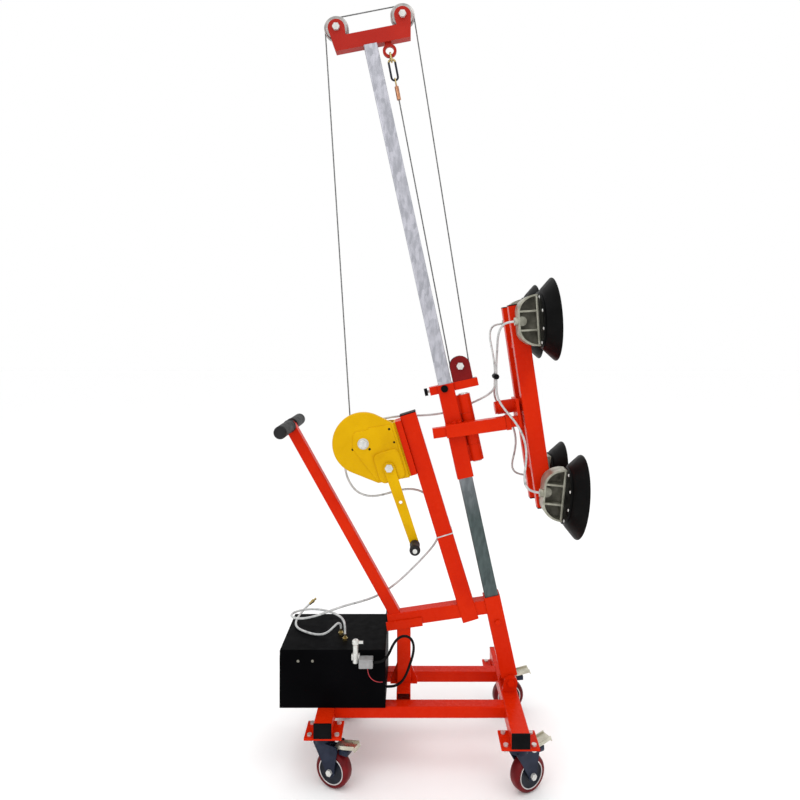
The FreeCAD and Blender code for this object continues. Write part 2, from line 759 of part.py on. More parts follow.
frame_caps = [tube(p3(column_at(column_length, 0)), p3(column_at(column_length + cap_thickness, 0)),
        column_size,
                   column_size, 0, True)]
frame_caps.append(tube(p3(beam_at(beam_rear - cap_thickness, 0)), p3(beam_at(beam_rear, 0)), beam_size,
        beam_size, 0,
                       True))
write("frame_end_caps", *frame_caps)

# Winch: U frame on the column, gear cover, drum with its wheel, crank with its pinion
drum_at = (drum_x, drum_z)
crank_at = at(drum_x, drum_z, crank_bearing, gear_radius + pinion_radius, 0)
plate_in = drum_width / 2 + 4 + seat_gap
side_out = plate_in + side_plate
base_left = left + mount_block
flange = base_left + 6.0
cover_in = side_out + seat_gap
gear_y0 = -cover_in - 3 - gear_width
gear_y1 = gear_y0 + gear_width
cover_out = -gear_y0 + 4 + cover_wall
low_point = (drum_x + cover_foot_x, drum_z - cover_foot_drop)


def tangent(centre, radius, point, side):
    # Where the tangent from a point meets a circle; side picks which of the two
    dx, dz = point[0] - centre[0], point[1] - centre[1]
    far = math.hypot(dx, dz)
    angle = math.atan2(dz, dx) + side * math.acos(radius / far)
    return centre[0] + radius * math.cos(angle), centre[1] + radius * math.sin(angle)


def outer_tangent(c0, r0, c1, r1):
    # Points where a straight rope on the left of the line c0 to c1 touches two circles
    dx, dz = c1[0] - c0[0], c1[1] - c0[1]
    far = math.hypot(dx, dz)
    angle = math.atan2(dz, dx) + math.acos((r0 - r1) / far)
    c, s = math.cos(angle), math.sin(angle)
    return (c0[0] + r0 * c, c0[1] + r0 * s), (c1[0] + r1 * c, c1[1] + r1 * s)


def teardrop(radius, points, y0, y1):
    # Disc round the drum drawn out by straight tangents to the given corner points
    first = tangent(drum_at, radius, points[0], 1)
    last = tangent(drum_at, radius, points[-1], -1)
    wedge = plate_y([first] + points + [last, drum_at], y0, y1)
    return fuse([rod_y(drum_at, radius, y0, y1), wedge])


high_corner = column_at(mount_high, flange)
low_corner = column_at(mount_low, flange)
side_corners = [high_corner, low_corner]
frame_parts = [plate_y([column_at(mount_low, base_left), column_at(mount_high, base_left), high_corner,
        low_corner],
                       -side_out, side_out)]
for sign in (-1, 1):
    y0 = min(sign * plate_in, sign * side_out)
    frame_parts.append(teardrop(drum_flange, side_corners, y0, y0 + side_plate))
winch_frame = fuse(frame_parts)
winch_frame = winch_frame.cut(rod_y(drum_at, shaft_radius + run_fit, -100, 100))
winch_frame = winch_frame.cut(rod_y(crank_at, crank_shaft_radius + run_fit, -100, 0))
write("winch_frame", winch_frame)

cover_corners = [high_corner, low_corner, low_point]
cover = teardrop(cover_radius, cover_corners, -cover_out, -cover_in)
shrink = [(q[0] + (drum_x - q[0]) * 0.05, q[1] + (drum_z - q[1]) * 0.05) for q in cover_corners]
cover = cover.cut(teardrop(cover_radius - cover_wall, shrink, -cover_out + cover_wall, -cover_in))
bulge_mid = column_at(mount_low + 62.0, flange + 57.0)
bulge_c, bulge_s = turn(column_lean)
bulge = moved(rounded(96.0, 112.0, 22.0).extrude(V(0, 0, 12)), p3(bulge_mid, -cover_out), V(bulge_c, 0,
        bulge_s),
              V(-bulge_s, 0, bulge_c), V(0, -1, 0))
bulge_out = cover_out + 12.0
cover = fuse([cover, bulge])
cover = cover.cut(rod_y(drum_at, shaft_radius + run_fit, -200, 0))
cover = cover.cut(rod_y(crank_at, crank_shaft_radius + run_fit, -200, 0))
write("winch_cover", cover)

half = drum_width / 2
drum_outline = [(0, -cover_out - 9), (shaft_radius, -cover_out - 9), (shaft_radius, gear_y0),
        (gear_radius - 0.15, gear_y0),
                (gear_radius - 0.15, gear_y1), (shaft_radius, gear_y1), (shaft_radius, -half - 4),
                        (drum_flange - 4, -half - 4),
                (drum_flange - 4, -half), (drum_core, -half), (drum_core, half), (drum_flange - 4, half),
                (drum_flange - 4, half + 4), (shaft_radius, half + 4), (shaft_radius, side_out + 10), (0,
                        side_out + 10)]
drum = spun(drum_outline, p3(drum_at), V(0, 1, 0), V(1, 0, 0))
drum = fuse([drum, hex_y(drum_at, 16, -cover_out - 12, -cover_out - 1), hex_y(drum_at, 16, side_out + 1,
        side_out + 12)])

# One layer of rope on the drum: a helix of tangent arcs, eight to a turn, with a straight end each way
wind_radius = drum_core + rope_radius + rope_gap
wind_length = rope_turns * rope_pitch
wind_steps = 8


def wind_corner(i):
    c, s = turn(360.0 * (i + 0.5) / wind_steps)
    reach = wind_radius / math.cos(math.pi / wind_steps)
    return V(reach * c, reach * s, rope_pitch * (i + 0.5) / wind_steps)


wind_edges = []
for i in range(wind_steps * rope_turns):
    corners = [wind_corner(i - 1), wind_corner(i), wind_corner(i + 1)]
    wind_edges.append(bend(*corners, (corners[1] - corners[0]).Length / 2)[0])
wind_points = [e.valueAt(e.FirstParameter + (e.LastParameter - e.FirstParameter) * k / 4) for e in wind_edges
               for k in range(4)]
wind_turn = 4 * wind_steps
wind_gap = min(p.distanceToPoint(q) for i,
        p in enumerate(wind_points) for q in wind_points[i + wind_turn // 2:])
print("rope winding least gap to itself", round(wind_gap - 2 * rope_radius, 2))
first_edge, last_edge = wind_edges[0], wind_edges[-1]
wind_start = first_edge.valueAt(first_edge.FirstParameter)
wind_end = last_edge.valueAt(last_edge.LastParameter)
start_dir = unit(first_edge.tangentAt(first_edge.FirstParameter))
end_dir = unit(last_edge.tangentAt(last_edge.LastParameter))
tail = 2 * rope_radius
wind_edges = [Part.makeLine(wind_start - start_dir * tail, wind_start)] + wind_edges
wind_edges.append(Part.makeLine(wind_end, wind_end + end_dir * tail))
winding = pipe("rope winding", wind_edges, rope_radius)
top_wrap = top_sheave_radius - groove_depth + rope_radius + rope_gap
leave, arrive = outer_tangent(drum_at, wind_radius, rear_pin, top_wrap)
out_dir = (p3(leave) - p3(drum_at)) / wind_radius
winding = moved(winding, p3(drum_at, -wind_length), out_dir, V(0, 1, 0).cross(out_dir), V(0, 1, 0))
write("winch_drum", drum)

arm_y0 = -bulge_out - 3 - crank_thickness
arm_y1 = arm_y0 + crank_thickness
crank_end = at(crank_at[0], crank_at[1], crank_lean - 90, crank_length, 0)
across = at(0, 0, crank_lean - 90, 0, crank_width / 2)
tip_across = (0.8 * across[0], 0.8 * across[1])
blade = plate_y([(crank_at[0] + across[0], crank_at[1] + across[1]), (crank_at[0] - across[0],
        crank_at[1] - across[1]),
                 (crank_end[0] - tip_across[0], crank_end[1] - tip_across[1]),
                 (crank_end[0] + tip_across[0], crank_end[1] + tip_across[1])], arm_y0, arm_y1)
crank_parts = [blade, rod_y(crank_at, crank_width / 2, arm_y0, arm_y1), rod_y(crank_end, 0.4 * crank_width,
        arm_y0, arm_y1)]
crank_parts.append(rod_y(crank_at, crank_shaft_radius, arm_y0 - 8, -plate_in))
crank_parts.append(hex_y(crank_at, 15, arm_y0 - 10, arm_y0))
crank_parts.append(rod_y(crank_at, pinion_radius - 0.15, gear_y0, gear_y1))
grip_end = arm_y0 - crank_grip_length - 2
crank_parts.append(rod_y(crank_end, 5, grip_end, arm_y0))
crank_parts.append(rod_y(crank_end, 8, grip_end - 3, grip_end))
hole = at(crank_at[0], crank_at[1], crank_lean - 90, 0.45 * crank_length, 0)
write("crank_arm", fuse(crank_parts).cut(rod_y(hole, 6, arm_y0, arm_y1)))
grip_outline = [(5 + run_fit, 0), (crank_grip_radius - 2, 0), (crank_grip_radius, 4)]
for part, step in ((0.4, -2), (0.65, 0), (0.88, 1), (1.0, -2)):
    grip_outline.append((crank_grip_radius + step, part * crank_grip_length))
grip_outline.append((5 + run_fit, crank_grip_length))
write("crank_grip", spun(grip_outline, p3(crank_end, arm_y0 - 1), V(0, -1, 0), V(1, 0, 0)))

# Carriage: sleeve on the mast, bracket with the pulley block, fixed hinge knuckles
sleeve = tube(p3(mast_at(0, sleeve_low)), p3(mast_at(0, sleeve_high)), sleeve_size, sleeve_size, sleeve_wall)
sleeve_half = sleeve_size / 2


def mast_plate(n0, n1, s0, s1, y0, y1):
    return plate_y([mast_at(n0, s0), mast_at(n1, s0), mast_at(n1, s1), mast_at(n0, s1)], y0, y1)


bracket_low = sleeve_high - bracket_height
bracket = mast_plate(sleeve_half, bracket_reach, bracket_low, sleeve_high, -bracket_width / 2,
        bracket_width / 2)
rear_lug = mast_plate(-sleeve_half - 30, -sleeve_half, bracket_low, sleeve_high, -bracket_width / 2,
        bracket_width / 2)
carriage_parts = [sleeve, bracket, rear_lug]
lift_pin = mast_at(lift_sheave_n, lift_sheave_s)
for sign in (-1, 1):
    y0 = min(sign * cheek_gap / 2, sign * cheek_out)
    y1 = y0 + cheek_thickness
    foot = mast_plate(lift_sheave_n - block_radius, lift_sheave_n + block_radius, sleeve_high,
            lift_sheave_s, y0, y1)
    carriage_parts += [foot, rod_y(lift_pin, block_radius, y0, y1)]
mast_axis = V(-turn(mast_lean)[1], 0, turn(mast_lean)[0])
for s0, s1 in ((knuckle_low, knuckle_turn_low), (knuckle_turn_high, knuckle_high)):
    end_gap = seat_gap if s1 == knuckle_turn_low else 0.0
    start_gap = seat_gap if s0 == knuckle_turn_high else 0.0
    carriage_parts.append(rod(p3(mast_at(knuckle_n, s0 + start_gap)), mast_axis, knuckle_radius,
                              s1 - s0 - start_gap - end_gap))
    carriage_parts.append(mast_plate(sleeve_half, knuckle_n, s0 + start_gap, s1 - end_gap, -knuckle_radius / 2,
                                     knuckle_radius / 2))
carriage_parts.append(mast_plate(sleeve_half, knuckle_n - knuckle_radius - seat_gap, knuckle_low, knuckle_high,
                                 -knuckle_radius / 2, knuckle_radius / 2))
carriage = fuse(carriage_parts)
carriage = carriage.cut(rod_y(lift_pin, sheave_pin_radius, -cheek_out, cheek_out))
pin_low = knuckle_low - 4
pin_high = knuckle_high + 4
pin_bore = rod(p3(mast_at(knuckle_n, pin_low)), mast_axis, hinge_pin_radius, pin_high - pin_low)
write("carriage_sleeve", carriage.cut(pin_bore))
write("carriage_sheave", sheave(lift_pin, lift_sheave_radius, sheave_pin_radius))
hinge_pin = fuse([pin_bore, rod(p3(mast_at(knuckle_n, knuckle_high)), mast_axis, hinge_pin_radius + 5, 4),
                  rod(p3(mast_at(knuckle_n, pin_low)), mast_axis, hinge_pin_radius + 5, 4)])
mast_front = V(turn(mast_lean)[0], 0, turn(mast_lean)[1])
knob_s = sleeve_high - bracket_height / 2
knob_foot = p3(mast_at(-sleeve_half - 30, knob_s))
knob = fuse([rod(knob_foot, mast_front * -1, 5, 10), rod(knob_foot - mast_front * 8, mast_front * -1, 14, 12)])
roller_at = mast_at(-6, knob_s)
roller = fuse([rod_y(roller_at, 13, -sleeve_half - 8, -sleeve_half), hex_y(roller_at, 9, -sleeve_half - 14,
                                                                           -sleeve_half - 8)])
write("carriage_pins", bolt_y(lift_pin, sheave_pin_radius, -cheek_out, cheek_out), hinge_pin, knob, roller)

# Arm: an outer tube on the turning knuckle, and the tube that slides in it with the head's hub
turning = rod(p3(mast_at(knuckle_n, knuckle_turn_low)), mast_axis, knuckle_radius,
        knuckle_turn_high - knuckle_turn_low)
arm = tube(p3(arm_at(arm_rear, 0), arm_y), p3(arm_at(arm_front, 0), arm_y), arm_size, arm_size, arm_wall)
half_arm = arm_size / 2
bridge_s = (knuckle_turn_low + knuckle_turn_high) / 2
bridge = mast_plate(knuckle_n - 16, knuckle_n + 16, bridge_s - 20, bridge_s + 20, arm_y + half_arm - 2, 0)
clamp_nuts = [rod(p3(arm_at(x, half_arm - 1), arm_y), V(-turn(arm_tilt)[1], 0, turn(arm_tilt)[0]), 7, 9)
              for x in (-48.0, -30.0)]
arm_bore = tube(p3(arm_at(arm_rear, 0), arm_y), p3(arm_at(arm_front, 0), arm_y), arm_size - 2 * arm_wall,
                arm_size - 2 * arm_wall, 0, True)
arm_shape = fuse([turning, arm, bridge] + clamp_nuts).cut(arm_bore)
arm_shape = arm_shape.cut(rod(p3(mast_at(knuckle_n, pin_low)), mast_axis, hinge_pin_radius + run_fit,
        pin_high - pin_low))
write("arm_sleeve", arm_shape)

head_dir = V(turn(arm_tilt)[0], 0, turn(arm_tilt)[1])
hub_half = hub_length / 2
plate_a = 16.0
slide_end = head_at(plate_a, 0)
slide_front = (slide_end[0] - arm_x) * turn(arm_tilt)[0] + (slide_end[1] - arm_z) * turn(arm_tilt)[1]
hub_up = (head_z - arm_z) * turn(arm_tilt)[0] - (head_x - arm_x) * turn(arm_tilt)[1]
slide = tube(p3(arm_at(slide_rear, 0), arm_y), p3(arm_at(slide_front, 0), arm_y), slide_size, slide_size,
        slide_wall)
collar_size = arm_size + 4
collar = tube(p3(arm_at(arm_front + side_gap, 0), arm_y), p3(arm_at(arm_front + 18, 0), arm_y), collar_size,
        collar_size, 0,
              True)
low_edge = -hub_up - half_arm
plate_corners = [head_at(plate_a, low_edge), head_at(plate_a + head_plate, low_edge),
                 head_at(plate_a + head_plate, hub_outer + 4), head_at(plate_a, hub_outer + 4)]
plate_near = plate_y(plate_corners, arm_y - half_arm, hub_outer + 4)
hub = rod(p3(head_at(-hub_half, 0)), head_dir, hub_outer, hub_length)
bore = rod(p3(head_at(-hub_half, 0)), head_dir, spindle_radius + run_fit, hub_length)
slide_bore = tube(p3(arm_at(slide_rear, 0), arm_y), p3(arm_at(slide_front, 0), arm_y),
        slide_size - 2 * slide_wall,
                  slide_size - 2 * slide_wall, 0, True)
write("arm_slide", fuse([slide, collar, plate_near, hub]).cut(bore).cut(slide_bore))

# Frame of the suction pads on its spindle
centre_a = hub_half + 3
spindle = rod(p3(head_at(-hub_half - 8, 0)), head_dir, spindle_radius, hub_length + 8 + 3)
keeper = rod(p3(head_at(-hub_half - 8, 0)), head_dir, hub_outer - 2, 8 - seat_gap)
inner_y = bar_y - bar_depth / 2
outer_y = bar_y + bar_depth / 2


def head_block(a0, a1, b0, b1, y0, y1):
    return plate_y([head_at(a0, b0), head_at(a1, b0), head_at(a1, b1), head_at(a0, b1)], y0, y1)


frame_parts = [spindle, keeper, head_block(centre_a, centre_a + 12, -80, 80, -inner_y - 2, inner_y + 2)]
frame_caps = []
for sign in (-1, 1):
    y = sign * bar_y
    low, high = p3(head_at(bar_a, -bar_half), y), p3(head_at(bar_a, bar_half), y)
    frame_parts.append(tube(low, high, bar_width, bar_depth, bar_wall))
    step = (high - low) / (2 * bar_half) * cap_thickness
    frame_caps += [tube(low - step, low, bar_width, bar_depth, 0, True), tube(high, high + step, bar_width,
            bar_depth, 0, True)]
for b in (-225.0, 225.0):
    ends = head_at(bar_a, b)
    frame_parts.append(tube(p3(ends, -inner_y - 2), p3(ends, inner_y + 2), 40, 40, bar_wall))
pad_flat = 2.0
pin_tip = outer_y + pad_flat + 30
for b in (-pad_b, pad_b):
    for sign in (-1, 1):
        frame_parts.append(rod_y(head_at(pin_a, b), pad_pin_radius, min(sign * inner_y, sign * pin_tip),
                                 max(sign * inner_y, sign * pin_tip)))
write("cup_frame", fuse(frame_parts))
write("cup_frame_caps", *frame_caps)

# Suction pads: an arched casting beside the bar, pocketed and ribbed, and a rubber cup under its flange
dome_back = flange_h - dome_depth
arch_steps = 6
flat_y = outer_y + pad_flat
face_y = flat_y + dome_width


def arch(place, inset, foot_h, y0, y1):
    # Two quarter ellipses from the flange up to a flat crown
    quarter = []
    for i in range(arch_steps + 1):
        c, s = turn(90.0 * i / arch_steps)
        quarter.append((dome_top_radius + (dome_radius - dome_top_radius) * c - inset,
                        foot_h - (foot_h - dome_back - inset) * s))
    edges = []
    for sign in (1, -1):
        curve = Part.BSplineCurve()
        curve.interpolate([place(sign * u, h, y0) for u, h in quarter])
        edges.append(curve.toShape())
    for u, h in (quarter[0], quarter[-1]):
        edges.append(Part.makeLine(place(u, h, y0), place(-u, h, y0)))
    outline = Part.Wire(Part.__sortEdges__(edges))
    return Part.Face(outline).extrude(place(0, 0, y1) - place(0, 0, y0))


def pad_shapes(level, sign):
    pin = head_at(pin_a, pad_b if level == "upper" else -pad_b)
    c, s = turn(pad_tilt[level])
    normal = V(c, 0, s)
    side = V(-s, 0, c)
    origin = p3(pin, sign * pad_y)

    def place(u, h, y):
        return p3(pin, sign * y) + normal * h + side * u

    def span_y(radius, y0, y1):
        return rod_y(pin, radius, min(sign * y0, sign * y1), max(sign * y0, sign * y1))

    foot_h = flange_h - flange_thickness
    slab = arch(place, 0, foot_h, flat_y, face_y)
    pocket = arch(place, dome_wall, foot_h, flat_y + dome_web, face_y)
    ribs = []
    for u in (-rib_u, rib_u):
        corners = [place(u + du, h, flat_y + dome_web) for du, h in
                   ((-rib_width / 2, dome_back), (rib_width / 2, dome_back), (rib_width / 2, foot_h),
                    (-rib_width / 2, foot_h))]
        bar = Part.Face(Part.makePolygon(corners + corners[:1]))
        ribs.append(bar.extrude(V(0, sign * (dome_width - dome_web - rib_drop), 0)).common(pocket))
    flange = rod(origin + normal * foot_h, normal, flange_radius, flange_thickness)
    nose = rod(origin + normal * (dome_back - nose_length), normal, 14, nose_length + dome_wall / 2)
    boss = span_y(boss_radius, flat_y, flat_y + 34)
    cast = fuse([slab.cut(pocket), flange, nose, boss] + ribs)
    cast = cast.cut(span_y(pad_pin_radius + run_fit, flat_y - 1, flat_y + 31))
    lip_h = flange_h + rubber_depth
    cup = [(0, flange_h), (flange_radius, flange_h), (flange_radius + 9, flange_h + 5), (lip_radius, lip_h - 3),
           (lip_radius, lip_h), (lip_radius - 12, lip_h), (lip_radius - 18, lip_h - 5),
           (flange_radius - 4, flange_h + 12 + rubber_wall), (flange_radius - 14, flange_h + rubber_wall),
           (0, flange_h + rubber_wall)]
    return cast, spun(cup, origin, normal, side)


for level in ("upper", "lower"):
    for side_name, sign in (("near", -1), ("far", 1)):
        cast, cup = pad_shapes(level, sign)
        write("pad_dome_" + level + "_" + side_name, cast)
        write("pad_rubber_" + level + "_" + side_name, cup)


# Hoist rope: drum, both top sheaves, the carriage sheave and back up to the hook
lift_wrap = lift_sheave_radius - groove_depth + rope_radius + rope_gap
over_rear, over_front = outer_tangent(rear_pin, top_wrap, front_pin, top_wrap)
down_front, down_lift = outer_tangent(front_pin, top_wrap, lift_pin, lift_wrap)
up_lift = tangent(lift_pin, lift_wrap, eye_at, 1)
fall_dir = unit(p3(eye_at) - p3(up_lift))
ferrule_low = 183.0
rope_end = p3(eye_at) - fall_dir * ferrule_low


def wrap(centre, radius, start, end, toward):
    # Arc of the rope round a sheave on the side that toward points to
    return arc(p3(start), p3(centre) + toward / toward.Length * radius, p3(end))


rise_dir = unit(p3(arrive) - p3(leave))
rope_edges = [Part.makeLine(p3(leave) + rise_dir * (tail + rope_gap), p3(arrive)),
              wrap(rear_pin, top_wrap, arrive, over_rear, V(-1, 0, 1)),
              Part.makeLine(p3(over_rear), p3(over_front)),
              wrap(front_pin, top_wrap, over_front, down_front, V(1, 0, 1)),
              Part.makeLine(p3(down_front), p3(down_lift)),
              wrap(lift_pin, lift_wrap, down_lift, up_lift, mast_axis * -1),
              Part.makeLine(p3(up_lift), rope_end)]
write("hoist_rope", pipe("hoist rope", rope_edges, rope_radius), winding)

# Link, snap hook, thimble and ferrule between the eye and the rope's end
link_wire = 4.0
thimble_wire = rope_radius
link_half = 10.5
hook_half = 12.0
thimble_half = 9.0
link_inner = link_half - link_wire - rope_gap
link_top = eye_bore + math.sqrt(link_inner ** 2 - eye_half ** 2) - link_half
link_low = link_top + 32.0
hook_top = link_low - 2 * link_wire - rope_gap
hook_low = hook_top + 78.0
thimble_top = hook_low - link_wire - thimble_wire - rope_gap
thimble_low = thimble_top + 36.0
fall_side = V(0, 1, 0).cross(fall_dir)


def loop(top, low, half, wire, side):
    # Closed oval link between two distances below the eye, lying in the plane of side
    a = p3(eye_at) - fall_dir * (top + half)
    b = p3(eye_at) - fall_dir * (low - half)
    edges = [Part.makeLine(b + side * half, a + side * half),
             arc(a + side * half, a + fall_dir * half, a - side * half),
             Part.makeLine(a - side * half, b - side * half),
             arc(b - side * half, b - fall_dir * half, b + side * half)]
    return pipe("link", edges, wire)


link = loop(link_top, link_low, link_half, link_wire, V(0, 1, 0))
hook = loop(hook_top, hook_low, hook_half, link_wire, fall_side)
thimble = loop(thimble_top, thimble_low, thimble_half, thimble_wire, V(0, 1, 0))
ferrule = rod(rope_end, fall_dir, 3 * rope_radius, ferrule_low - thimble_low + 2 * thimble_wire)
write("rope_fittings", link, hook, fuse([thimble, ferrule]))


# Vacuum hose: a loop over the box, up behind the column, a slack loop under the winch, then to the manifold
vacuum_points = [
    (-287, -74, lid_top + nipple_height), (-287, -74, 474), (-292, -60, 492), (-310, -32, 498), (-350, 6, 499),
    (-400, 32, 497), (-450, 34, 495), (-484, 16, 493), (-494, -12, 492), (-476, -38, 492), (-436, -48, 495),
    (-390, -42, 504), (-338, -24, 517), (-285, -1, 526), (-232, 18, 532), (-184, 33, 543), (-136, 43, 567),
    (-88, 48, 603), (-42, 50, 647), (2, 48, 693), (40, 44, 739), (60, 41, 787), (58, 40, 839), (38, 41, 889),
    (5, 42, 927), (-42, 37, 946), (-98, 24, 944), (-152, 12, 929), (-204, 8, 922), (-252, 16, 936), (-286,
            36, 973),
    (-303, 58, 1022), (-301, 70, 1077), (-276, 73, 1129), (-232, 72, 1173), (-176, 68, 1200), (-116, 60, 1213),
    (-58, 53, 1217), (2, 48, 1219), (60, 46, 1225), (112, 45, 1239), (160, 38, 1259), (204, 22, 1281), (238,
            2, 1303),
    (254, -13, 1325), (258, -18, 1343), (258, -18, manifold_z - manifold_radius - rope_gap)]
write("vacuum_hose", cord("vacuum hose", vacuum_points, hose_radius))

# Manifold on the head with a hose to each pad; (forward, up, share of the way out to the pad)
manifold = rod(V(manifold_x, -48, manifold_z), V(0, 1, 0), manifold_radius, 62)
upper_route = [(0, 10, 0), (0, 28, 0), (-1, 50, 0.07), (-2, 80, 0.27), (-4, 112, 0.52), (-6, 146, 0.78),
               (1, 177, 0.95), (20, 194.5, 1)]
lower_route = [(0, -10, 0), (0, -30, 0.01), (-1, -60, 0.14), (8, -92, 0.32), (30, -122, 0.48), (58, -156, 0.6),
               (83, -198, 0.67), (95, -246, 0.72), (93, -294, 0.79), (84, -338, 0.89), (85, -370, 0.97),
               (105, -391.5, 1)]
hoses = []
for level, side_b, route in (("upper", pad_b, upper_route), ("lower", -pad_b, lower_route)):
    pin = head_at(pin_a, side_b)
    c, s = turn(pad_tilt[level])
    reach = dome_back - nose_length - rope_gap
    end_x, end_z = pin[0] + reach * c, pin[1] + reach * s
    for sign, out_y in ((-1, -38.0), (1, 4.0)):
        points = [(manifold_x + x, out_y + (sign * pad_y - out_y) * share, manifold_z + z) for x, z,
                share in route]
        hoses.append(cord("pad hose " + level, points + [(end_x, sign * pad_y, end_z)], hose_radius))
write("pad_hoses", manifold, *hoses)

# Battery cable: from the charging plug out in a standing loop and back into the box
cable_points = [
    (plug_x + plug_length / 2, -167, plug_z), (-163, -167, plug_z), (-143, -168, 404), (-127, -168, 425),
    (-116, -166, 451), (-100, -162, 474), (-76, -157, 484), (-52, -151, 473), (-41, -146, 446), (-44, -142,
            411),
    (-55, -138, 375), (-67, -134, 339), (-83, -128, 309), (-105, -120, 291), (-124, -118, 287), (box_front,
            -118, 287)]
write("battery_cable", cord("battery cable", cable_points, cable_radius))
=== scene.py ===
import math
import bpy
import bmesh
from mathutils import Matrix, Vector


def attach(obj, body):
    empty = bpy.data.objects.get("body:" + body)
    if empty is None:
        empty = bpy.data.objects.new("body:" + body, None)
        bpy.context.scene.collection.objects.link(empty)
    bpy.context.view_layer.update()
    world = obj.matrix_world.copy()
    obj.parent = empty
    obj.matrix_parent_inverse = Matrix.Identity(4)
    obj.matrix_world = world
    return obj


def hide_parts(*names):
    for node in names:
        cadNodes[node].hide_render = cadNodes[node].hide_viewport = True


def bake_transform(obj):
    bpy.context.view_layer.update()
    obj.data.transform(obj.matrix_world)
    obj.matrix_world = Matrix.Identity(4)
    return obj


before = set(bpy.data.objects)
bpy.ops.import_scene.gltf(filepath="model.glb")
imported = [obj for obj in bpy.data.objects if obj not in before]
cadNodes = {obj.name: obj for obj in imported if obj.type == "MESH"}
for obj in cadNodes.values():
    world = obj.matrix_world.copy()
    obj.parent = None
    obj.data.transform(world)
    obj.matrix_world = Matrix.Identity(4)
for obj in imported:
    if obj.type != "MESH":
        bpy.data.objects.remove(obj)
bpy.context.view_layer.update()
mm = 0.001
print("frame loaded,", len(cadNodes), "nodes")


# finishes: colour patches, changing gloss and a fine grain, all on object coordinates
look = {"patchBand": (0.35, 0.68), "patchDetail": 5.0, "spangleMix": 0.45, "spangleDrop": 0.22,
        "dirtBand": (0.58, 0.75), "dirtDetail": 8.0, "glossBand": (0.3, 0.7), "glossDetail": 3.0,
        "grainDetail": 2.0, "grainDepth": 0.001}


def finish(name, base, alt, patch=9.0, rough=(0.3, 0.45), roughScale=40.0, grain=0.05, grainScale=900.0,
           metal=0.0, cells=0.0, stretch=(1, 1, 1), dirt=None, dirtScale=3.0, spec=0.5, shade=None):
    mat = bpy.data.materials.new(name)
    mat.use_nodes = True
    tree = mat.node_tree
    shader = tree.nodes["Principled BSDF"]
    coords = tree.nodes.new("ShaderNodeTexCoord")
    place = tree.nodes.new("ShaderNodeMapping")
    place.inputs["Scale"].default_value = stretch
    tree.links.new(coords.outputs["Object"], place.inputs["Vector"])

    def noise(scale, detail):
        node = tree.nodes.new("ShaderNodeTexNoise")
        node.inputs["Scale"].default_value = scale
        node.inputs["Detail"].default_value = detail
        tree.links.new(place.outputs["Vector"], node.inputs["Vector"])
        return node

    patches = noise(patch, look["patchDetail"])
    ramp = tree.nodes.new("ShaderNodeValToRGB")
    for stop, level, shown in zip(ramp.color_ramp.elements, look["patchBand"], (base, alt)):
        stop.position = level
        stop.color = (*shown, 1)
    source = patches.outputs["Fac"]
    if cells:
        spangle = tree.nodes.new("ShaderNodeTexVoronoi")
        spangle.inputs["Scale"].default_value = cells
        tree.links.new(place.outputs["Vector"], spangle.inputs["Vector"])
        both = tree.nodes.new("ShaderNodeMath")
        both.operation = "MULTIPLY_ADD"
        both.inputs[1].default_value = look["spangleMix"]
        tree.links.new(spangle.outputs["Color"], both.inputs[0])
        tree.links.new(patches.outputs["Fac"], both.inputs[2])
        less = tree.nodes.new("ShaderNodeMath")
        less.operation = "SUBTRACT"
        less.inputs[1].default_value = look["spangleDrop"]
        tree.links.new(both.outputs[0], less.inputs[0])
        source = less.outputs[0]
    tree.links.new(source, ramp.inputs["Fac"])
    colour = ramp.outputs["Color"]
    if dirt:
        spots = noise(dirtScale, look["dirtDetail"])
        edge = tree.nodes.new("ShaderNodeMapRange")
        edge.inputs["From Min"].default_value, edge.inputs["From Max"].default_value = look["dirtBand"]
        tree.links.new(spots.outputs["Fac"], edge.inputs["Value"])
        soil = tree.nodes.new("ShaderNodeMix")
        soil.data_type = "RGBA"
        tree.links.new(edge.outputs["Result"], soil.inputs["Factor"])
        tree.links.new(colour, soil.inputs["A"])
        soil.inputs["B"].default_value = (*dirt, 1)
        colour = soil.outputs["Result"]
    # painted shade: the colour is multiplied by a darker tint towards the bottom of the object, over the given
    # height range
    if shade:
        height = tree.nodes.new("ShaderNodeSeparateXYZ")
        tree.links.new(coords.outputs["Object"], height.inputs["Vector"])
        low = tree.nodes.new("ShaderNodeMapRange")
        low.inputs["From Min"].default_value, low.inputs["From Max"].default_value = shade[:2]
        tree.links.new(height.outputs["Z"], low.inputs["Value"])
        tint = tree.nodes.new("ShaderNodeMix")
        tint.data_type = "RGBA"
        tint.blend_type = "MULTIPLY"
        tree.links.new(low.outputs["Result"], tint.inputs["Factor"])
        tree.links.new(colour, tint.inputs["A"])
        tint.inputs["B"].default_value = (*shade[2], 1)
        colour = tint.outputs["Result"]
    tree.links.new(colour, shader.inputs["Base Color"])
    gloss = noise(roughScale, look["glossDetail"])
    span = tree.nodes.new("ShaderNodeMapRange")
    span.inputs["From Min"].default_value, span.inputs["From Max"].default_value = look["glossBand"]
    span.inputs["To Min"].default_value, span.inputs["To Max"].default_value = rough
    tree.links.new(gloss.outputs["Fac"], span.inputs["Value"])
    tree.links.new(span.outputs["Result"], shader.inputs["Roughness"])
    if grain:
        fine = noise(grainScale, look["grainDetail"])
        bump = tree.nodes.new("ShaderNodeBump")
        bump.inputs["Strength"].default_value = grain
        bump.inputs["Distance"].default_value = look["grainDepth"]
        tree.links.new(fine.outputs["Fac"], bump.inputs["Height"])
        tree.links.new(bump.outputs["Normal"], shader.inputs["Normal"])
    shader.inputs["Metallic"].default_value = metal
    shader.inputs["Specular IOR Level"].default_value = spec
    return mat


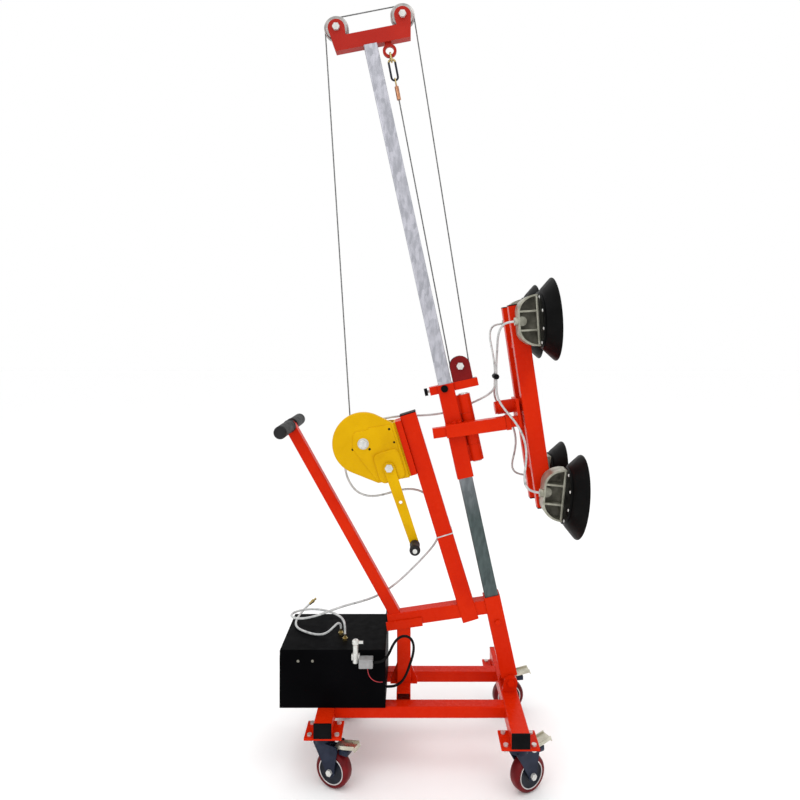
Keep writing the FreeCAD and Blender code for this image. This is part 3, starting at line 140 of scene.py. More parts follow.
paintRed = finish("orange red paint", (0.54, 0.014, 0.0012), (0.60, 0.021, 0.0016), patch=5, rough=(0.2, 0.34),
                  grain=0.08, grainScale=420, dirt=(0.46, 0.010, 0.001), dirtScale=4, spec=0.05)
paintDark = finish("deep red paint", (0.30, 0.012, 0.007), (0.38, 0.018, 0.010), patch=6, rough=(0.25, 0.38),
                   grain=0.08, grainScale=420, spec=0.12)
pulleyRed = finish("dark pulley paint", (0.15, 0.004, 0.005), (0.21, 0.008, 0.008), patch=8, rough=(0.25, 0.38),
                   grain=0.08, grainScale=420, spec=0.1)
paintYellow = finish("winch yellow paint", (0.57, 0.31, 0.0003), (0.65, 0.37, 0.0006), patch=8,
                     rough=(0.22, 0.36), grain=0.06, grainScale=500, dirt=(0.48, 0.24, 0.0003),
                     dirtScale=7, spec=0.06)
# the galvanised mast carries painted shade, darker towards its foot
zincTube = finish("galvanised tube", (0.33, 0.335, 0.37), (0.49, 0.49, 0.54), patch=70, rough=(0.28, 0.45),
                  roughScale=110, grain=0.12, grainScale=300, metal=0.6, cells=90, stretch=(1, 1, 0.35),
                  spec=0.4, shade=(1.35, 0.85, (0.15, 0.20, 0.18)))
zincPlate = finish("bright zinc plate", (0.52, 0.52, 0.50), (0.68, 0.68, 0.65), patch=60, rough=(0.18, 0.32),
                   grain=0.06, grainScale=700, metal=0.4)
goldZinc = finish("yellow zinc plate", (0.42, 0.40, 0.32), (0.60, 0.58, 0.48), patch=30, rough=(0.22, 0.38),
                  grain=0.06, grainScale=600, metal=0.9)
forkSteel = finish("dark zinc steel", (0.007, 0.011, 0.026), (0.018, 0.024, 0.046), patch=30,
                   rough=(0.28, 0.45), grain=0.08, grainScale=500, metal=0.25, spec=0.2)
castAlloy = finish("cast alloy", (0.26, 0.255, 0.20), (0.44, 0.435, 0.36), patch=40, rough=(0.3, 0.48),
                   roughScale=90, grain=0.25, grainScale=520, metal=0.55, dirt=(0.13, 0.125, 0.09),
                   dirtScale=18)
castDark = finish("dull casting skin", (0.13, 0.125, 0.10), (0.25, 0.24, 0.20), patch=45, rough=(0.45, 0.65),
                  roughScale=90, grain=0.35, grainScale=420, metal=0.3, dirt=(0.045, 0.042, 0.034),
                  dirtScale=25, spec=0.25)
blackMould = finish("black moulding", (0.0015, 0.0015, 0.002), (0.0035, 0.0035, 0.004), patch=25,
                    rough=(0.42, 0.6), grain=0.2, grainScale=700, spec=0.06)
boxCoat = finish("black powder coat", (0.0010, 0.0010, 0.0013), (0.0020, 0.0020, 0.0025), patch=6,
                 rough=(0.4, 0.55), grain=0.25, grainScale=900, spec=0.015)
blackRubber = finish("black rubber", (0.0018, 0.0018, 0.0018), (0.0042, 0.0042, 0.0042), patch=18,
                     rough=(0.34, 0.5), grain=0.12, grainScale=600, dirt=(0.006, 0.006, 0.0055),
                     dirtScale=9, spec=0.05)
gripRubber = finish("ribbed grip", (0.006, 0.006, 0.007), (0.012, 0.012, 0.013), patch=30, rough=(0.5, 0.7),
                    grain=0.3, grainScale=500, spec=0.25)
tyreRed = finish("dark red tyre", (0.085, 0.002, 0.004), (0.16, 0.005, 0.007), patch=22, rough=(0.28, 0.42),
                 grain=0.08, grainScale=500, dirt=(0.03, 0.005, 0.006), dirtScale=20, spec=0.14)
hubBlack = finish("dark wheel hub", (0.006, 0.008, 0.014), (0.014, 0.018, 0.028), patch=40, rough=(0.3, 0.45),
                  grain=0.06, grainScale=500, spec=0.2)
rimSilver = finish("pale rim band", (0.50, 0.47, 0.46), (0.66, 0.62, 0.61), patch=50, rough=(0.25, 0.4),
                   grain=0.04, metal=0.7)
hoseWhite = finish("white hose", (0.40, 0.41, 0.41), (0.56, 0.57, 0.56), patch=45, rough=(0.16, 0.28),
                   grain=0.03, grainScale=300, dirt=(0.20, 0.20, 0.20), dirtScale=60, spec=0.35)
cableBlack = finish("black cable sheath", (0.0015, 0.0015, 0.0015), (0.004, 0.004, 0.004), patch=30,
                    rough=(0.45, 0.6), grain=0.08, spec=0.08)
ropeSteel = finish("steel wire rope", (0.09, 0.092, 0.09), (0.22, 0.222, 0.22), patch=120, rough=(0.35, 0.55),
                   grain=0.2, grainScale=1500, metal=0.75)
brassFit = finish("brass fitting", (0.40, 0.30, 0.11), (0.58, 0.46, 0.22), patch=80, rough=(0.2, 0.34),
                  grain=0.05, metal=0.95)
copperFit = finish("copper ferrule", (0.40, 0.17, 0.09), (0.54, 0.28, 0.16), patch=90, rough=(0.25, 0.4),
                   grain=0.05, metal=0.95)
greyPlastic = finish("grey plug", (0.22, 0.22, 0.22), (0.31, 0.31, 0.31), patch=50, rough=(0.4, 0.55),
                     grain=0.15)
wireRed = finish("red wire", (0.33, 0.012, 0.020), (0.42, 0.020, 0.028), patch=40, rough=(0.35, 0.5),
                 grain=0.05)
sheaveSteel = finish("turned sheave", (0.34, 0.33, 0.32), (0.50, 0.49, 0.47), patch=40, rough=(0.25, 0.4),
                     grain=0.06, metal=0.85)
print("finishes made")

nodeFinish = {
    "top_beam": paintDark, "mast": zincTube, "winch_frame": paintYellow, "winch_cover": paintYellow,
    "crank_arm": paintYellow, "crank_grip": gripRubber, "handle_grips": gripRubber, "base_end_caps": blackMould,
    "frame_end_caps": blackMould, "cup_frame_caps": blackMould, "pump_box": boxCoat, "pump_box_lid": boxCoat,
    "pump_set": greyPlastic, "base_bolts": zincPlate, "frame_bolts": zincPlate, "carriage_pins": zincPlate,
    "caster_heads": forkSteel, "box_fittings": zincPlate, "valve_lever": zincPlate,
    "rear_top_sheave": sheaveSteel, "front_top_sheave": sheaveSteel, "carriage_sheave": sheaveSteel,
    "winch_drum": forkSteel, "hoist_rope": ropeSteel, "rope_fittings": brassFit, "vacuum_hose": hoseWhite,
    "pad_hoses": hoseWhite, "battery_cable": cableBlack}
prefixFinish = {"caster_fork": forkSteel, "caster_wheel": tyreRed, "caster_pedal": goldZinc,
                "pad_dome": castAlloy, "pad_rubber": blackRubber}
for nodeName, node in cadNodes.items():
    chosen = nodeFinish.get(nodeName, paintRed)
    for start, mat in prefixFinish.items():
        if nodeName.startswith(start):
            chosen = mat
    node.data.materials.clear()
    node.data.materials.append(chosen)
print("CAD nodes finished")


# small helpers for new pieces
def keep(bm, name, mat, body, standsFor=(), smooth=40):
    mesh = bpy.data.meshes.new(name)
    bm.to_mesh(mesh)
    bm.free()
    for face in mesh.polygons:
        face.use_smooth = True
    mesh.set_sharp_from_angle(angle=math.radians(smooth))
    piece = bpy.data.objects.new(name, mesh)
    bpy.context.scene.collection.objects.link(piece)
    mesh.materials.append(mat)
    if body:
        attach(piece, body)
    if standsFor:
        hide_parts(*standsFor)
    return piece


def lathe(profile, place, steps=48, bm=None):
    # profile is (radius, height) pairs of a closed section, turned about local Z and then placed
    target = bm or bmesh.new()
    verts = [target.verts.new((r, 0, h)) for r, h in profile]
    edges = [target.edges.new((a, b)) for a, b in zip(verts, verts[1:] + verts[:1])]
    made = bmesh.ops.spin(target, geom=verts + edges, cent=(0, 0, 0), axis=(0, 0, 1), angle=2 * math.pi,
                          steps=steps, use_merge=True)
    ring = {v for e in edges for v in e.verts}
    ring |= {g for g in made["geom_last"] if isinstance(g, bmesh.types.BMVert)}
    whole = set(ring)
    queue = list(ring)
    while queue:
        v = queue.pop()
        for e in v.link_edges:
            other = e.other_vert(v)
            if other not in whole:
                whole.add(other)
                queue.append(other)
    bmesh.ops.transform(target, matrix=place, verts=list(whole))
    bmesh.ops.remove_doubles(target, verts=target.verts[:], dist=1e-6)
    bmesh.ops.recalc_face_normals(target, faces=target.faces[:])
    return target


def axisPlace(centre, axis):
    turnIt = Vector((0, 0, 1)).rotation_difference(Vector(axis).normalized()).to_matrix().to_4x4()
    return Matrix.Translation(Vector(centre)) @ turnIt


def acrossPlace(spot, side):
    # millimetre frame whose local Z runs along -Y for side 1 and along Y for side -1
    turnIt = Matrix.Rotation(side * math.pi / 2, 4, "X")
    return Matrix.Translation(Vector(spot) * mm) @ turnIt @ Matrix.Scale(mm, 4)


def routeCurve(name, points):
    curve = bpy.data.curves.new(name, "CURVE")
    curve.dimensions = "3D"
    curve.resolution_u = 10
    spline = curve.splines.new("NURBS")
    spline.points.add(len(points) - 1)
    for spot, p in zip(spline.points, points):
        spot.co = (p[0] * mm, p[1] * mm, p[2] * mm, 1)
    spline.order_u = 3
    spline.use_endpoint_u = True
    return curve


def routePath(name, points):
    # points read back from the route's spline
    curve = routeCurve(name, points)
    holder = bpy.data.objects.new(name, curve)
    bpy.context.scene.collection.objects.link(holder)
    bpy.context.view_layer.update()
    mesh = bpy.data.meshes.new_from_object(holder.evaluated_get(bpy.context.evaluated_depsgraph_get()))
    path = [v.co.copy() for v in mesh.vertices]
    bpy.data.objects.remove(holder)
    bpy.data.meshes.remove(mesh)
    return path


def pathLength(path):
    return sum((b - a).length for a, b in zip(path, path[1:]))


def evenPath(path, step):
    # the same line with evenly spaced points
    total = pathLength(path)
    count = max(2, round(total / step))
    spaced = [path[0].copy()]
    walked, index = 0.0, 0
    for k in range(1, count):
        want = total * k / count
        while walked + (path[index + 1] - path[index]).length < want:
            walked += (path[index + 1] - path[index]).length
            index += 1
        share = (want - walked) / (path[index + 1] - path[index]).length
        spaced.append(path[index].lerp(path[index + 1], share))
    spaced.append(path[-1].copy())
    return spaced


def sweep(name, path, radius, mat, lobes=0, lay=0.034, sides=12):
    # mesh tube along a path; lobes makes twisted strands
    ringCurve = bpy.data.curves.new(name + "Section", "CURVE")
    ringCurve.dimensions = "2D"
    ring = ringCurve.splines.new("POLY")
    count = max(sides, lobes * 3)
    ring.points.add(count - 1)
    for k, spot in enumerate(ring.points):
        a = 2 * math.pi * k / count
        r = radius * (0.9 + 0.1 * math.cos(lobes * a)) if lobes else radius
        spot.co = (r * math.cos(a), r * math.sin(a), 0, 1)
    ring.use_cyclic_u = True
    section = bpy.data.objects.new(name + "Section", ringCurve)
    line = bpy.data.curves.new(name, "CURVE")
    line.dimensions = "3D"
    line.twist_mode = "MINIMUM"
    spline = line.splines.new("POLY")
    spline.points.add(len(path) - 1)
    run = 0.0
    for k, spot in enumerate(spline.points):
        if k:
            run += (path[k] - path[k - 1]).length
        spot.co = (*path[k], 1)
        if lobes:
            spot.tilt = 2 * math.pi * run / lay
    line.bevel_mode = "OBJECT"
    line.bevel_object = section
    line.use_fill_caps = True
    holder = bpy.data.objects.new(name + "Line", line)
    bpy.context.scene.collection.objects.link(section)
    bpy.context.scene.collection.objects.link(holder)
    bpy.context.view_layer.update()
    mesh = bpy.data.meshes.new_from_object(holder.evaluated_get(bpy.context.evaluated_depsgraph_get()))
    bpy.data.objects.remove(holder)
    bpy.data.objects.remove(section)
    bm = bmesh.new()
    bm.from_mesh(mesh)
    bpy.data.meshes.remove(mesh)
    bmesh.ops.remove_doubles(bm, verts=bm.verts[:], dist=1e-6)
    bmesh.ops.recalc_face_normals(bm, faces=bm.faces[:])
    return keep(bm, name, mat, None, smooth=60)


def hexNut(bm, centre, axis, radius, height):
    made = bmesh.ops.create_cone(bm, cap_ends=True, segments=6, radius1=radius * mm, radius2=radius * mm,
                                 depth=height * mm)
    rim = list({e for v in made["verts"] for e in v.link_edges})
    bmesh.ops.transform(bm, matrix=axisPlace(Vector(centre) * mm, axis), verts=made["verts"])
    bmesh.ops.bevel(bm, geom=rim, offset=0.07 * radius * mm, offset_type="OFFSET", affect="EDGES", segments=2,
                    profile=0.5, material=-1)


def brick(bm, centre, sizes, turnY=0.0, edge=0.4):
    made = bmesh.ops.create_cube(bm, size=1.0)
    rim = list({e for v in made["verts"] for e in v.link_edges})
    shape = Matrix.Translation(Vector(centre) * mm) @ Matrix.Rotation(math.radians(-turnY), 4, "Y")
    shape = shape @ Matrix.Diagonal((sizes[0] * mm, sizes[1] * mm, sizes[2] * mm, 1))
    bmesh.ops.transform(bm, matrix=shape, verts=made["verts"])
    bmesh.ops.bevel(bm, geom=rim, offset=edge * mm, offset_type="OFFSET", affect="EDGES", segments=2,
                    profile=0.5, material=-1)


def splitFinish(nodeName, mat, test):
    mesh = cadNodes[nodeName].data
    mesh.materials.append(mat)
    for face in mesh.polygons:
        if test(face.center):
            face.material_index = len(mesh.materials) - 1


# camera, floor and light
view = {"place": (-0.048, -2.397, 1.502), "lens": 29.25, "shift": (-0.015, -0.075), "sensor": 36, "far": 100}
camera = bpy.data.cameras.new("viewCamera")
camera.lens = view["lens"]
camera.sensor_width = view["sensor"]
camera.shift_x, camera.shift_y = view["shift"]
camera.clip_end = view["far"]
cameraObject = bpy.data.objects.new("viewCamera", camera)
cameraObject.location = view["place"]
cameraObject.rotation_euler = (math.pi / 2, 0, 0)
bpy.context.scene.collection.objects.link(cameraObject)
bpy.context.scene.camera = cameraObject
bpy.context.scene.view_settings.view_transform = "Standard"

floorLook = {"size": 30.0, "colours": ((0.96, 0.96, 0.96), (0.97, 0.97, 0.97)), "rough": (0.7, 0.8)}
bm = bmesh.new()
bmesh.ops.create_grid(bm, x_segments=2, y_segments=2, size=floorLook["size"])
floorPaint = finish("pale floor", *floorLook["colours"], rough=floorLook["rough"], grain=0)
floorPiece = keep(bm, "studioFloor", floorPaint, None)

# each lamp: place, aim, size and power
light = {"ambient": 1.04, "lamps": {
    "topLight": ((0.0, -0.4, 4.6), (0, 0, 0.8), (3.5, 3.5), 40),
    "keyLight": ((-2.4, -3.4, 3.2), (0, 0, 1.2), (2.2, 2.6), 30),
    "fillLight": ((2.8, -3.0, 2.2), (0, 0, 1.2), (2.2, 2.6), 10)}}
world = bpy.data.worlds.new("studio")
bpy.context.scene.world = world
world.use_nodes = True
tree = world.node_tree
tree.nodes.clear()
rays = tree.nodes.new("ShaderNodeLightPath")
seen = tree.nodes.new("ShaderNodeMath")
seen.operation = "MAXIMUM"
seenAll = tree.nodes.new("ShaderNodeMath")
seenAll.operation = "MAXIMUM"
white = tree.nodes.new("ShaderNodeBackground")
white.inputs["Color"].default_value = (1, 1, 1, 1)
soft = tree.nodes.new("ShaderNodeBackground")
soft.inputs["Color"].default_value = (1, 1, 1, 1)
soft.inputs["Strength"].default_value = light["ambient"]
mixBack = tree.nodes.new("ShaderNodeMixShader")
out = tree.nodes.new("ShaderNodeOutputWorld")
tree.links.new(rays.outputs["Is Camera Ray"], seen.inputs[0])
tree.links.new(rays.outputs["Is Glossy Ray"], seen.inputs[1])
tree.links.new(seen.outputs[0], seenAll.inputs[0])
tree.links.new(rays.outputs["Is Transmission Ray"], seenAll.inputs[1])
tree.links.new(seenAll.outputs[0], mixBack.inputs["Fac"])
tree.links.new(soft.outputs[0], mixBack.inputs[1])
tree.links.new(white.outputs[0], mixBack.inputs[2])
tree.links.new(mixBack.outputs[0], out.inputs["Surface"])


def softLamp(name, place, aim, size, power):
    lamp = bpy.data.lights.new(name, "AREA")
    lamp.shape = "RECTANGLE"
    lamp.size, lamp.size_y = size
    lamp.energy = power
    holder = bpy.data.objects.new(name, lamp)
    holder.location = place
    holder.rotation_euler = (Vector(aim) - Vector(place)).to_track_quat("-Z", "Y").to_euler()
    bpy.context.scene.collection.objects.link(holder)


for lampName, values in light["lamps"].items():
    softLamp(lampName, *values)
print("camera, floor and light set")

# hoses and cable
hose = {"radius": 0.004, "sides": 14, "step": 0.006}
vacuumRoute = [
    (-287, -74, 452), (-287, -74, 474), (-292, -60, 492), (-310, -32, 498), (-350, 6, 499), (-400, 32, 497),
    (-450, 34, 495), (-484, 16, 493), (-494, -12, 492), (-476, -38, 492), (-436, -48, 495), (-390, -42, 504),
    (-338, -24, 517), (-285, -1, 526), (-232, 18, 532), (-184, 33, 543), (-136, 43, 567), (-88, 48, 603),
    (-42, 50, 647), (2, 48, 693), (40, 44, 739), (60, 41, 787), (58, 40, 839), (38, 41, 889), (5, 42, 927),
    (-42, 37, 946), (-98, 24, 944), (-152, 12, 929), (-204, 8, 922), (-252, 16, 936), (-286, 36, 973),
    (-303, 58, 1022), (-301, 70, 1077), (-276, 73, 1129), (-232, 72, 1173), (-176, 68, 1200), (-116, 60, 1213),
    (-58, 53, 1217), (2, 48, 1219), (60, 46, 1225), (112, 45, 1239), (160, 38, 1259), (204, 22, 1281),
    (238, 2, 1303), (254, -13, 1325), (258, -18, 1343), (258, -18, 1358.7)]
# each stretch of the hose: where it starts, the bodies it runs between, and the straight line it turns over
stretches = [
    ("hoseFromBox", (-287, -74, 452), ("base", "upper_frame"), ((-250, 10, 527), (-20, 50, 667))),
    ("hoseOnColumn", (2, 48, 693), ("upper_frame",), None),
    ("hoseToCarriage", (-116, 60, 1213), ("upper_frame", "carriage"), ((-110, 60, 1213), (56, 46, 1225))),
    ("hoseByKnuckle", (60, 46, 1225), ("carriage", "arm"), ((118, 44, 1241), (158, 38, 1259))),
    ("hoseToManifold", (160, 38, 1259), ("arm", "reach"), ((164, 38, 1259), (254, -13, 1325)))]


def nearest(path, point):
    spot = Vector(point) * mm
    return min(range(len(path)), key=lambda k: (path[k] - spot).length)


vacuumPath = evenPath(routePath("vacuumRoute", vacuumRoute), hose["step"])
cuts = [nearest(vacuumPath, s[1]) for s in stretches] + [len(vacuumPath) - 1]
for k, (name, startAt, bodies, line) in enumerate(stretches):
    part = vacuumPath[cuts[k]:cuts[k + 1] + 1]
    piece = sweep(name, part, hose["radius"], hoseWhite, sides=hose["sides"])
    if len(bodies) == 1:
        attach(piece, bodies[0])
    else:
        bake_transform(piece)
    if k == 0:
        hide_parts("vacuum_hose")

# manifold with a hose to each pad: (forward, up, share of the way out)
manifold = {"x": 258, "z": 1369, "end": -48, "steps": 32,
            "section": [(0, 0), (9, 0), (10, 1.5), (10, 14), (9, 16), (9, 20), (10, 22), (10, 40), (9, 42),
                        (9, 46), (10, 48), (10, 60.5), (9, 62), (0, 62)]}
padRoutes = {
    "upper": [(0, 10, 0), (0, 28, 0), (-1, 50, 0.07), (-2, 80, 0.27), (-4, 112, 0.52), (-6, 146, 0.78),
              (1, 177, 0.95), (20, 194.5, 1)],
    "lower": [(0, -10, 0), (0, -30, 0.01), (-1, -60, 0.14), (8, -92, 0.32), (30, -122, 0.48), (58, -156, 0.6),
              (83, -198, 0.67), (95, -246, 0.72), (93, -294, 0.79), (84, -338, 0.89), (85, -370, 0.97),
              (105, -391.5, 1)]}
padEnds = {"upper": (305.5, 1565.6), "lower": (392.66, 973.94)}
padOut = 150
bm = lathe(manifold["section"], acrossPlace((manifold["x"], manifold["end"], manifold["z"]), -1),
           manifold["steps"])
manifoldPiece = keep(bm, "hoseManifold", blackMould, "reach")
for level, route in padRoutes.items():
    for sign, side, outAt in ((-1, "Near", -38), (1, "Far", 4)):
        points = [(manifold["x"] + x, outAt + (sign * padOut - outAt) * share, manifold["z"] + z)
                  for x, z, share in route]
        points.append((padEnds[level][0], sign * padOut, padEnds[level][1]))
        path = evenPath(routePath("padRoute", points), hose["step"])
        turnAt = len(path) * 2 // 3
        for name, run, bodies in (("padHose", path[:turnAt + 1], ("reach", "head")),
                                  ("padHoseEnd", path[turnAt:], ("head", "pad_" + level + "_" + side.lower()))):
            piece = sweep(name + level.capitalize() + side, run, hose["radius"], hoseWhite, sides=hose["sides"])
            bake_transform(piece)
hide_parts("pad_hoses")

cable = {"radius": 0.0045, "step": 0.005, "sides": 14}
cableRoute = [
    (-182, -167, 396), (-163, -167, 396), (-143, -168, 404), (-127, -168, 425), (-116, -166, 451),
    (-100, -162, 474), (-76, -157, 484), (-52, -151, 473), (-41, -146, 446), (-44, -142, 411),
    (-55, -138, 375), (-67, -134, 339), (-83, -128, 309), (-105, -120, 291), (-124, -118, 287),
    (-140, -118, 287)]
path = evenPath(routePath("cableRoute", cableRoute), cable["step"])
piece = sweep("batteryCable", path, cable["radius"], cableBlack, sides=cable["sides"])
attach(piece, "base")
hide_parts("battery_cable")
print("hoses and cable laid")

# hoist rope: drum, both top pulleys, round the carriage pulley and up to its ferrule
rope = {"radius": 2.6, "lay": 30, "strands": 6, "drum": (-223, 1130), "wound": 47.9, "rear": (-326, 2647),
        "front": (-82.85, 2694.26), "over": 41.9, "lift": (127.96, 1406.61), "under": 34.9,
        "eye": (-130.2, 2567.4), "ferrule": 183, "turns": 5, "turnSteps": 48, "pitch": 6, "step": 0.0026}


def flat(spot, y=0.0):
    return Vector((spot[0], y, spot[1])) * mm


def tangentLine(c0, r0, c1, r1):
    # rope on the left of the line from one pulley to the next
    dx, dz = c1[0] - c0[0], c1[1] - c0[1]
    angle = math.atan2(dz, dx) + math.acos((r0 - r1) / math.hypot(dx, dz))
    side = (math.cos(angle), math.sin(angle))
    return ((c0[0] + r0 * side[0], c0[1] + r0 * side[1]), (c1[0] + r1 * side[0], c1[1] + r1 * side[1]))


def roundPulley(centre, start, end, steps=40):
    a = math.atan2(start[1] - centre[1], start[0] - centre[0])
    b = math.atan2(end[1] - centre[1], end[0] - centre[0])
    while b > a:
        b -= 2 * math.pi
    r = math.hypot(start[0] - centre[0], start[1] - centre[1])
    angles = [a + (b - a) * k / steps for k in range(steps + 1)]
    return [flat((centre[0] + r * math.cos(turn), centre[1] + r * math.sin(turn))) for turn in angles]


leave, arrive = tangentLine(rope["drum"], rope["wound"], rope["rear"], rope["over"])
overRear, overFront = tangentLine(rope["rear"], rope["over"], rope["front"], rope["over"])
downFront, downLift = tangentLine(rope["front"], rope["over"], rope["lift"], rope["under"])
upLift, eyeSide = tangentLine(rope["lift"], rope["under"], rope["eye"], 0.0)
fallEnd = flat(rope["eye"]) + (flat(upLift) - flat(rope["eye"])).normalized() * rope["ferrule"] * mm
ropeRuns = [
    ("ropeOverTop", [flat(leave)] + roundPulley(rope["rear"], arrive, overRear)
     + roundPulley(rope["front"], overFront, downFront), ("upper_frame",)),
    ("ropeFrontFall", [flat(downFront), flat(downLift)], ("upper_frame", "carriage")),
    ("ropeUnderPulley", roundPulley(rope["lift"], downLift, upLift), ("carriage",)),
    ("ropeBackFall", [flat(upLift), fallEnd], ("carriage", "upper_frame"))]
# a fall is laid in short runs, cut at these shares of its length
fallShares = (0, 0.05, 0.25, 0.5, 0.75, 0.95, 1)


def layRope(name, path):
    piece = sweep(name, path, rope["radius"] * mm, ropeSteel, lobes=rope["strands"], lay=rope["lay"] * mm)
    return piece


for name, line, bodies in ropeRuns:
    path = evenPath(line, rope["step"])
    last = len(path) - 1
    if len(bodies) == 1:
        piece = layRope(name, path)
        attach(piece, bodies[0])
        if name == "ropeOverTop":
            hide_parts("hoist_rope")
        continue
    cuts = [round(last * share) for share in fallShares]
    for k in range(len(cuts) - 1):
        part = path[cuts[k]:cuts[k + 1] + 1]
        piece = layRope(name + str(k + 1), part)
        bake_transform(piece)

drum = {"section": [(0, -76), (8, -76), (9, -75), (9, -60), (20, -60), (99.8, -60), (99.8, -48), (20, -48),
                    (9, -46), (9, -40), (63, -40), (64, -39), (64, -37), (63, -36), (45, -36), (45, 36),
                    (63, 36), (64, 37), (64, 39), (63, 40), (9, 40), (9, 53.5), (8, 54.5), (0, 54.5)],
        "steps": 64, "nut": 16, "nuts": ((-76.5, 10), (51.0, 11)),
        "washer": [(9.2, 70.6), (19, 70.6), (20, 71.0), (20, 71.6), (9.2, 71.6)], "washerSteps": 40}
drumX, drumZ = rope["drum"]
bm = lathe(drum["section"], acrossPlace((drumX, 0, drumZ), -1), drum["steps"])
keep(bm, "winchDrum", forkSteel, "drum", ["winch_drum"])
outward = math.atan2(leave[1] - drumZ, leave[0] - drumX)
turnPath = []
for k in range(rope["turns"] * rope["turnSteps"] + 1):
    a = outward - 2 * math.pi * (k / rope["turnSteps"] - rope["turns"])
    spot = (drumX + rope["wound"] * math.cos(a), drumZ + rope["wound"] * math.sin(a))
    turnPath.append(flat(spot, -rope["pitch"] * rope["turns"] + rope["pitch"] * k / rope["turnSteps"]))
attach(layRope("drumRope", evenPath(turnPath, rope["step"])), "drum")
print("rope reeved")

# casters
wheel = {"places": {"front_near": (304, -245, 30), "front_far": (304, 245, 8), "rear_near": (-345, -190, -25),
                    "rear_far": (-345, 190, 16)}, "trail": 38, "z": 62, "nut": (29.1, 14), "steps": 64}
brake = {"block": (82, 0, 129.5), "blockSize": (34, 34, 18),
         "rivet": [(0, 0), (4, 0), (4, 1), (2.5, 2), (0, 2.2)], "steps": 16, "round": 3, "edgeRound": 1,
         "edge": (97, 18.4, 152), "edgeSize": (58, 3, 13), "rise": 11}
tyreShape = [(46.2, -20.6), (51, -21.4), (54.5, -20.8), (57.6, -18.8), (60.2, -15), (61.6, -10), (62, -4),
             (62, 4), (61.6, 10), (60.2, 15), (57.6, 18.8), (54.5, 20.8), (51, 21.4), (46.2, 20.6)]
hubShape = [(6.2, -21.5), (13, -21.5), (14.5, -20.5), (16, -15.5), (19, -14.5), (37, -14.8), (39.5, -15.8),
            (42, -19.6), (43.2, -20.2), (46, -20.2), (46, 20.2), (43.2, 20.2), (42, 19.6), (39.5, 15.8),
            (37, 14.8), (19, 14.5), (16, 15.5), (14.5, 20.5), (13, 21.5), (6.2, 21.5)]
bandShape = [(43, 19.6), (46.4, 19.6), (46.4, 21.4), (45.8, 21.9), (43.8, 21.9), (43, 21.2)]
for place, (x, y, yaw) in wheel["places"].items():
    turned = Matrix.Translation((x * mm, y * mm, 0)) @ Matrix.Rotation(math.radians(yaw), 4, "Z")
    axle = turned @ acrossPlace((wheel["trail"], 0, wheel["z"]), -1)
    tag = "".join(word.capitalize() for word in place.split("_"))
    keep(lathe(tyreShape, axle, wheel["steps"]), "tyre" + tag, tyreRed, "wheel_" + place,
         ["caster_wheel_" + place])
    keep(lathe(hubShape, axle, wheel["steps"]), "hub" + tag, hubBlack, "wheel_" + place)
    bm = lathe(bandShape, axle, wheel["steps"])
    lathe([(r, -h) for r, h in bandShape], axle, wheel["steps"], bm)
    keep(bm, "rimBand" + tag, rimSilver, "wheel_" + place)
    bm = bmesh.new()
    brick(bm, brake["block"], brake["blockSize"], edge=brake["round"])
    for side in (-1, 1):
        rivetAt = (brake["block"][0], side * brake["blockSize"][1] / 2, brake["block"][2])
        lathe(brake["rivet"], acrossPlace(rivetAt, -side), brake["steps"], bm)
    bmesh.ops.transform(bm, matrix=turned, verts=bm.verts[:])
    keep(bm, "brakeBlock" + tag, forkSteel, "fork_" + place)
    bm = bmesh.new()
    for side in (-1, 1):
        brick(bm, (brake["edge"][0], side * brake["edge"][1], brake["edge"][2]), brake["edgeSize"],
              brake["rise"], brake["edgeRound"])
    bmesh.ops.transform(bm, matrix=turned, verts=bm.verts[:])
    keep(bm, "pedalEdges" + tag, goldZinc, "pedal_" + place)
    hubAt = turned @ Vector((wheel["trail"] * mm, 0, wheel["z"] * mm))
    across = turned.to_3x3() @ Vector((0, 1, 0))

    def onNut(at):
        away = at - hubAt
        return abs(away.dot(across)) > wheel["nut"][0] * mm and away.cross(across).length < wheel["nut"][1] * mm

    splitFinish("caster_fork_" + place, zincPlate, onNut)
print("wheels made")

# suction cups: turned rubber, and a ring of screws through each flange
cup = {"out": 150, "flange": 54, "screwRing": 88, "screws": (-62, -20, 20, 62), "foot": (11, 50),
       "footSize": (172, 8, 8), "pins": {"upper": (335.75, 1567.45, 3.5), "lower": (422.79, 970.77, -6.0)},
       "flangeFrom": 53.5, "slabTo": 91, "slab": (-53.2, 15.2), "web": -41, "webHalf": 0.4, "steps": 96,
       "screwSteps": 16, "footRound": 1.5}
rubberShape = [(0, 60), (95, 60), (97, 61), (101, 62.4), (106, 65.6), (112, 71), (130, 88.7), (140, 98.7),
               (143.3, 102.2), (144, 104), (143.6, 105.4), (142, 106), (132.5, 106), (126, 101.2), (110, 90.5),
               (96, 82), (88, 75.5), (83.5, 69.8), (82, 69), (0, 69)]
screwShape = [(0, 0), (5.2, 0), (5.4, 0.8), (4.8, 2.2), (3.0, 3.2), (0, 3.4)]
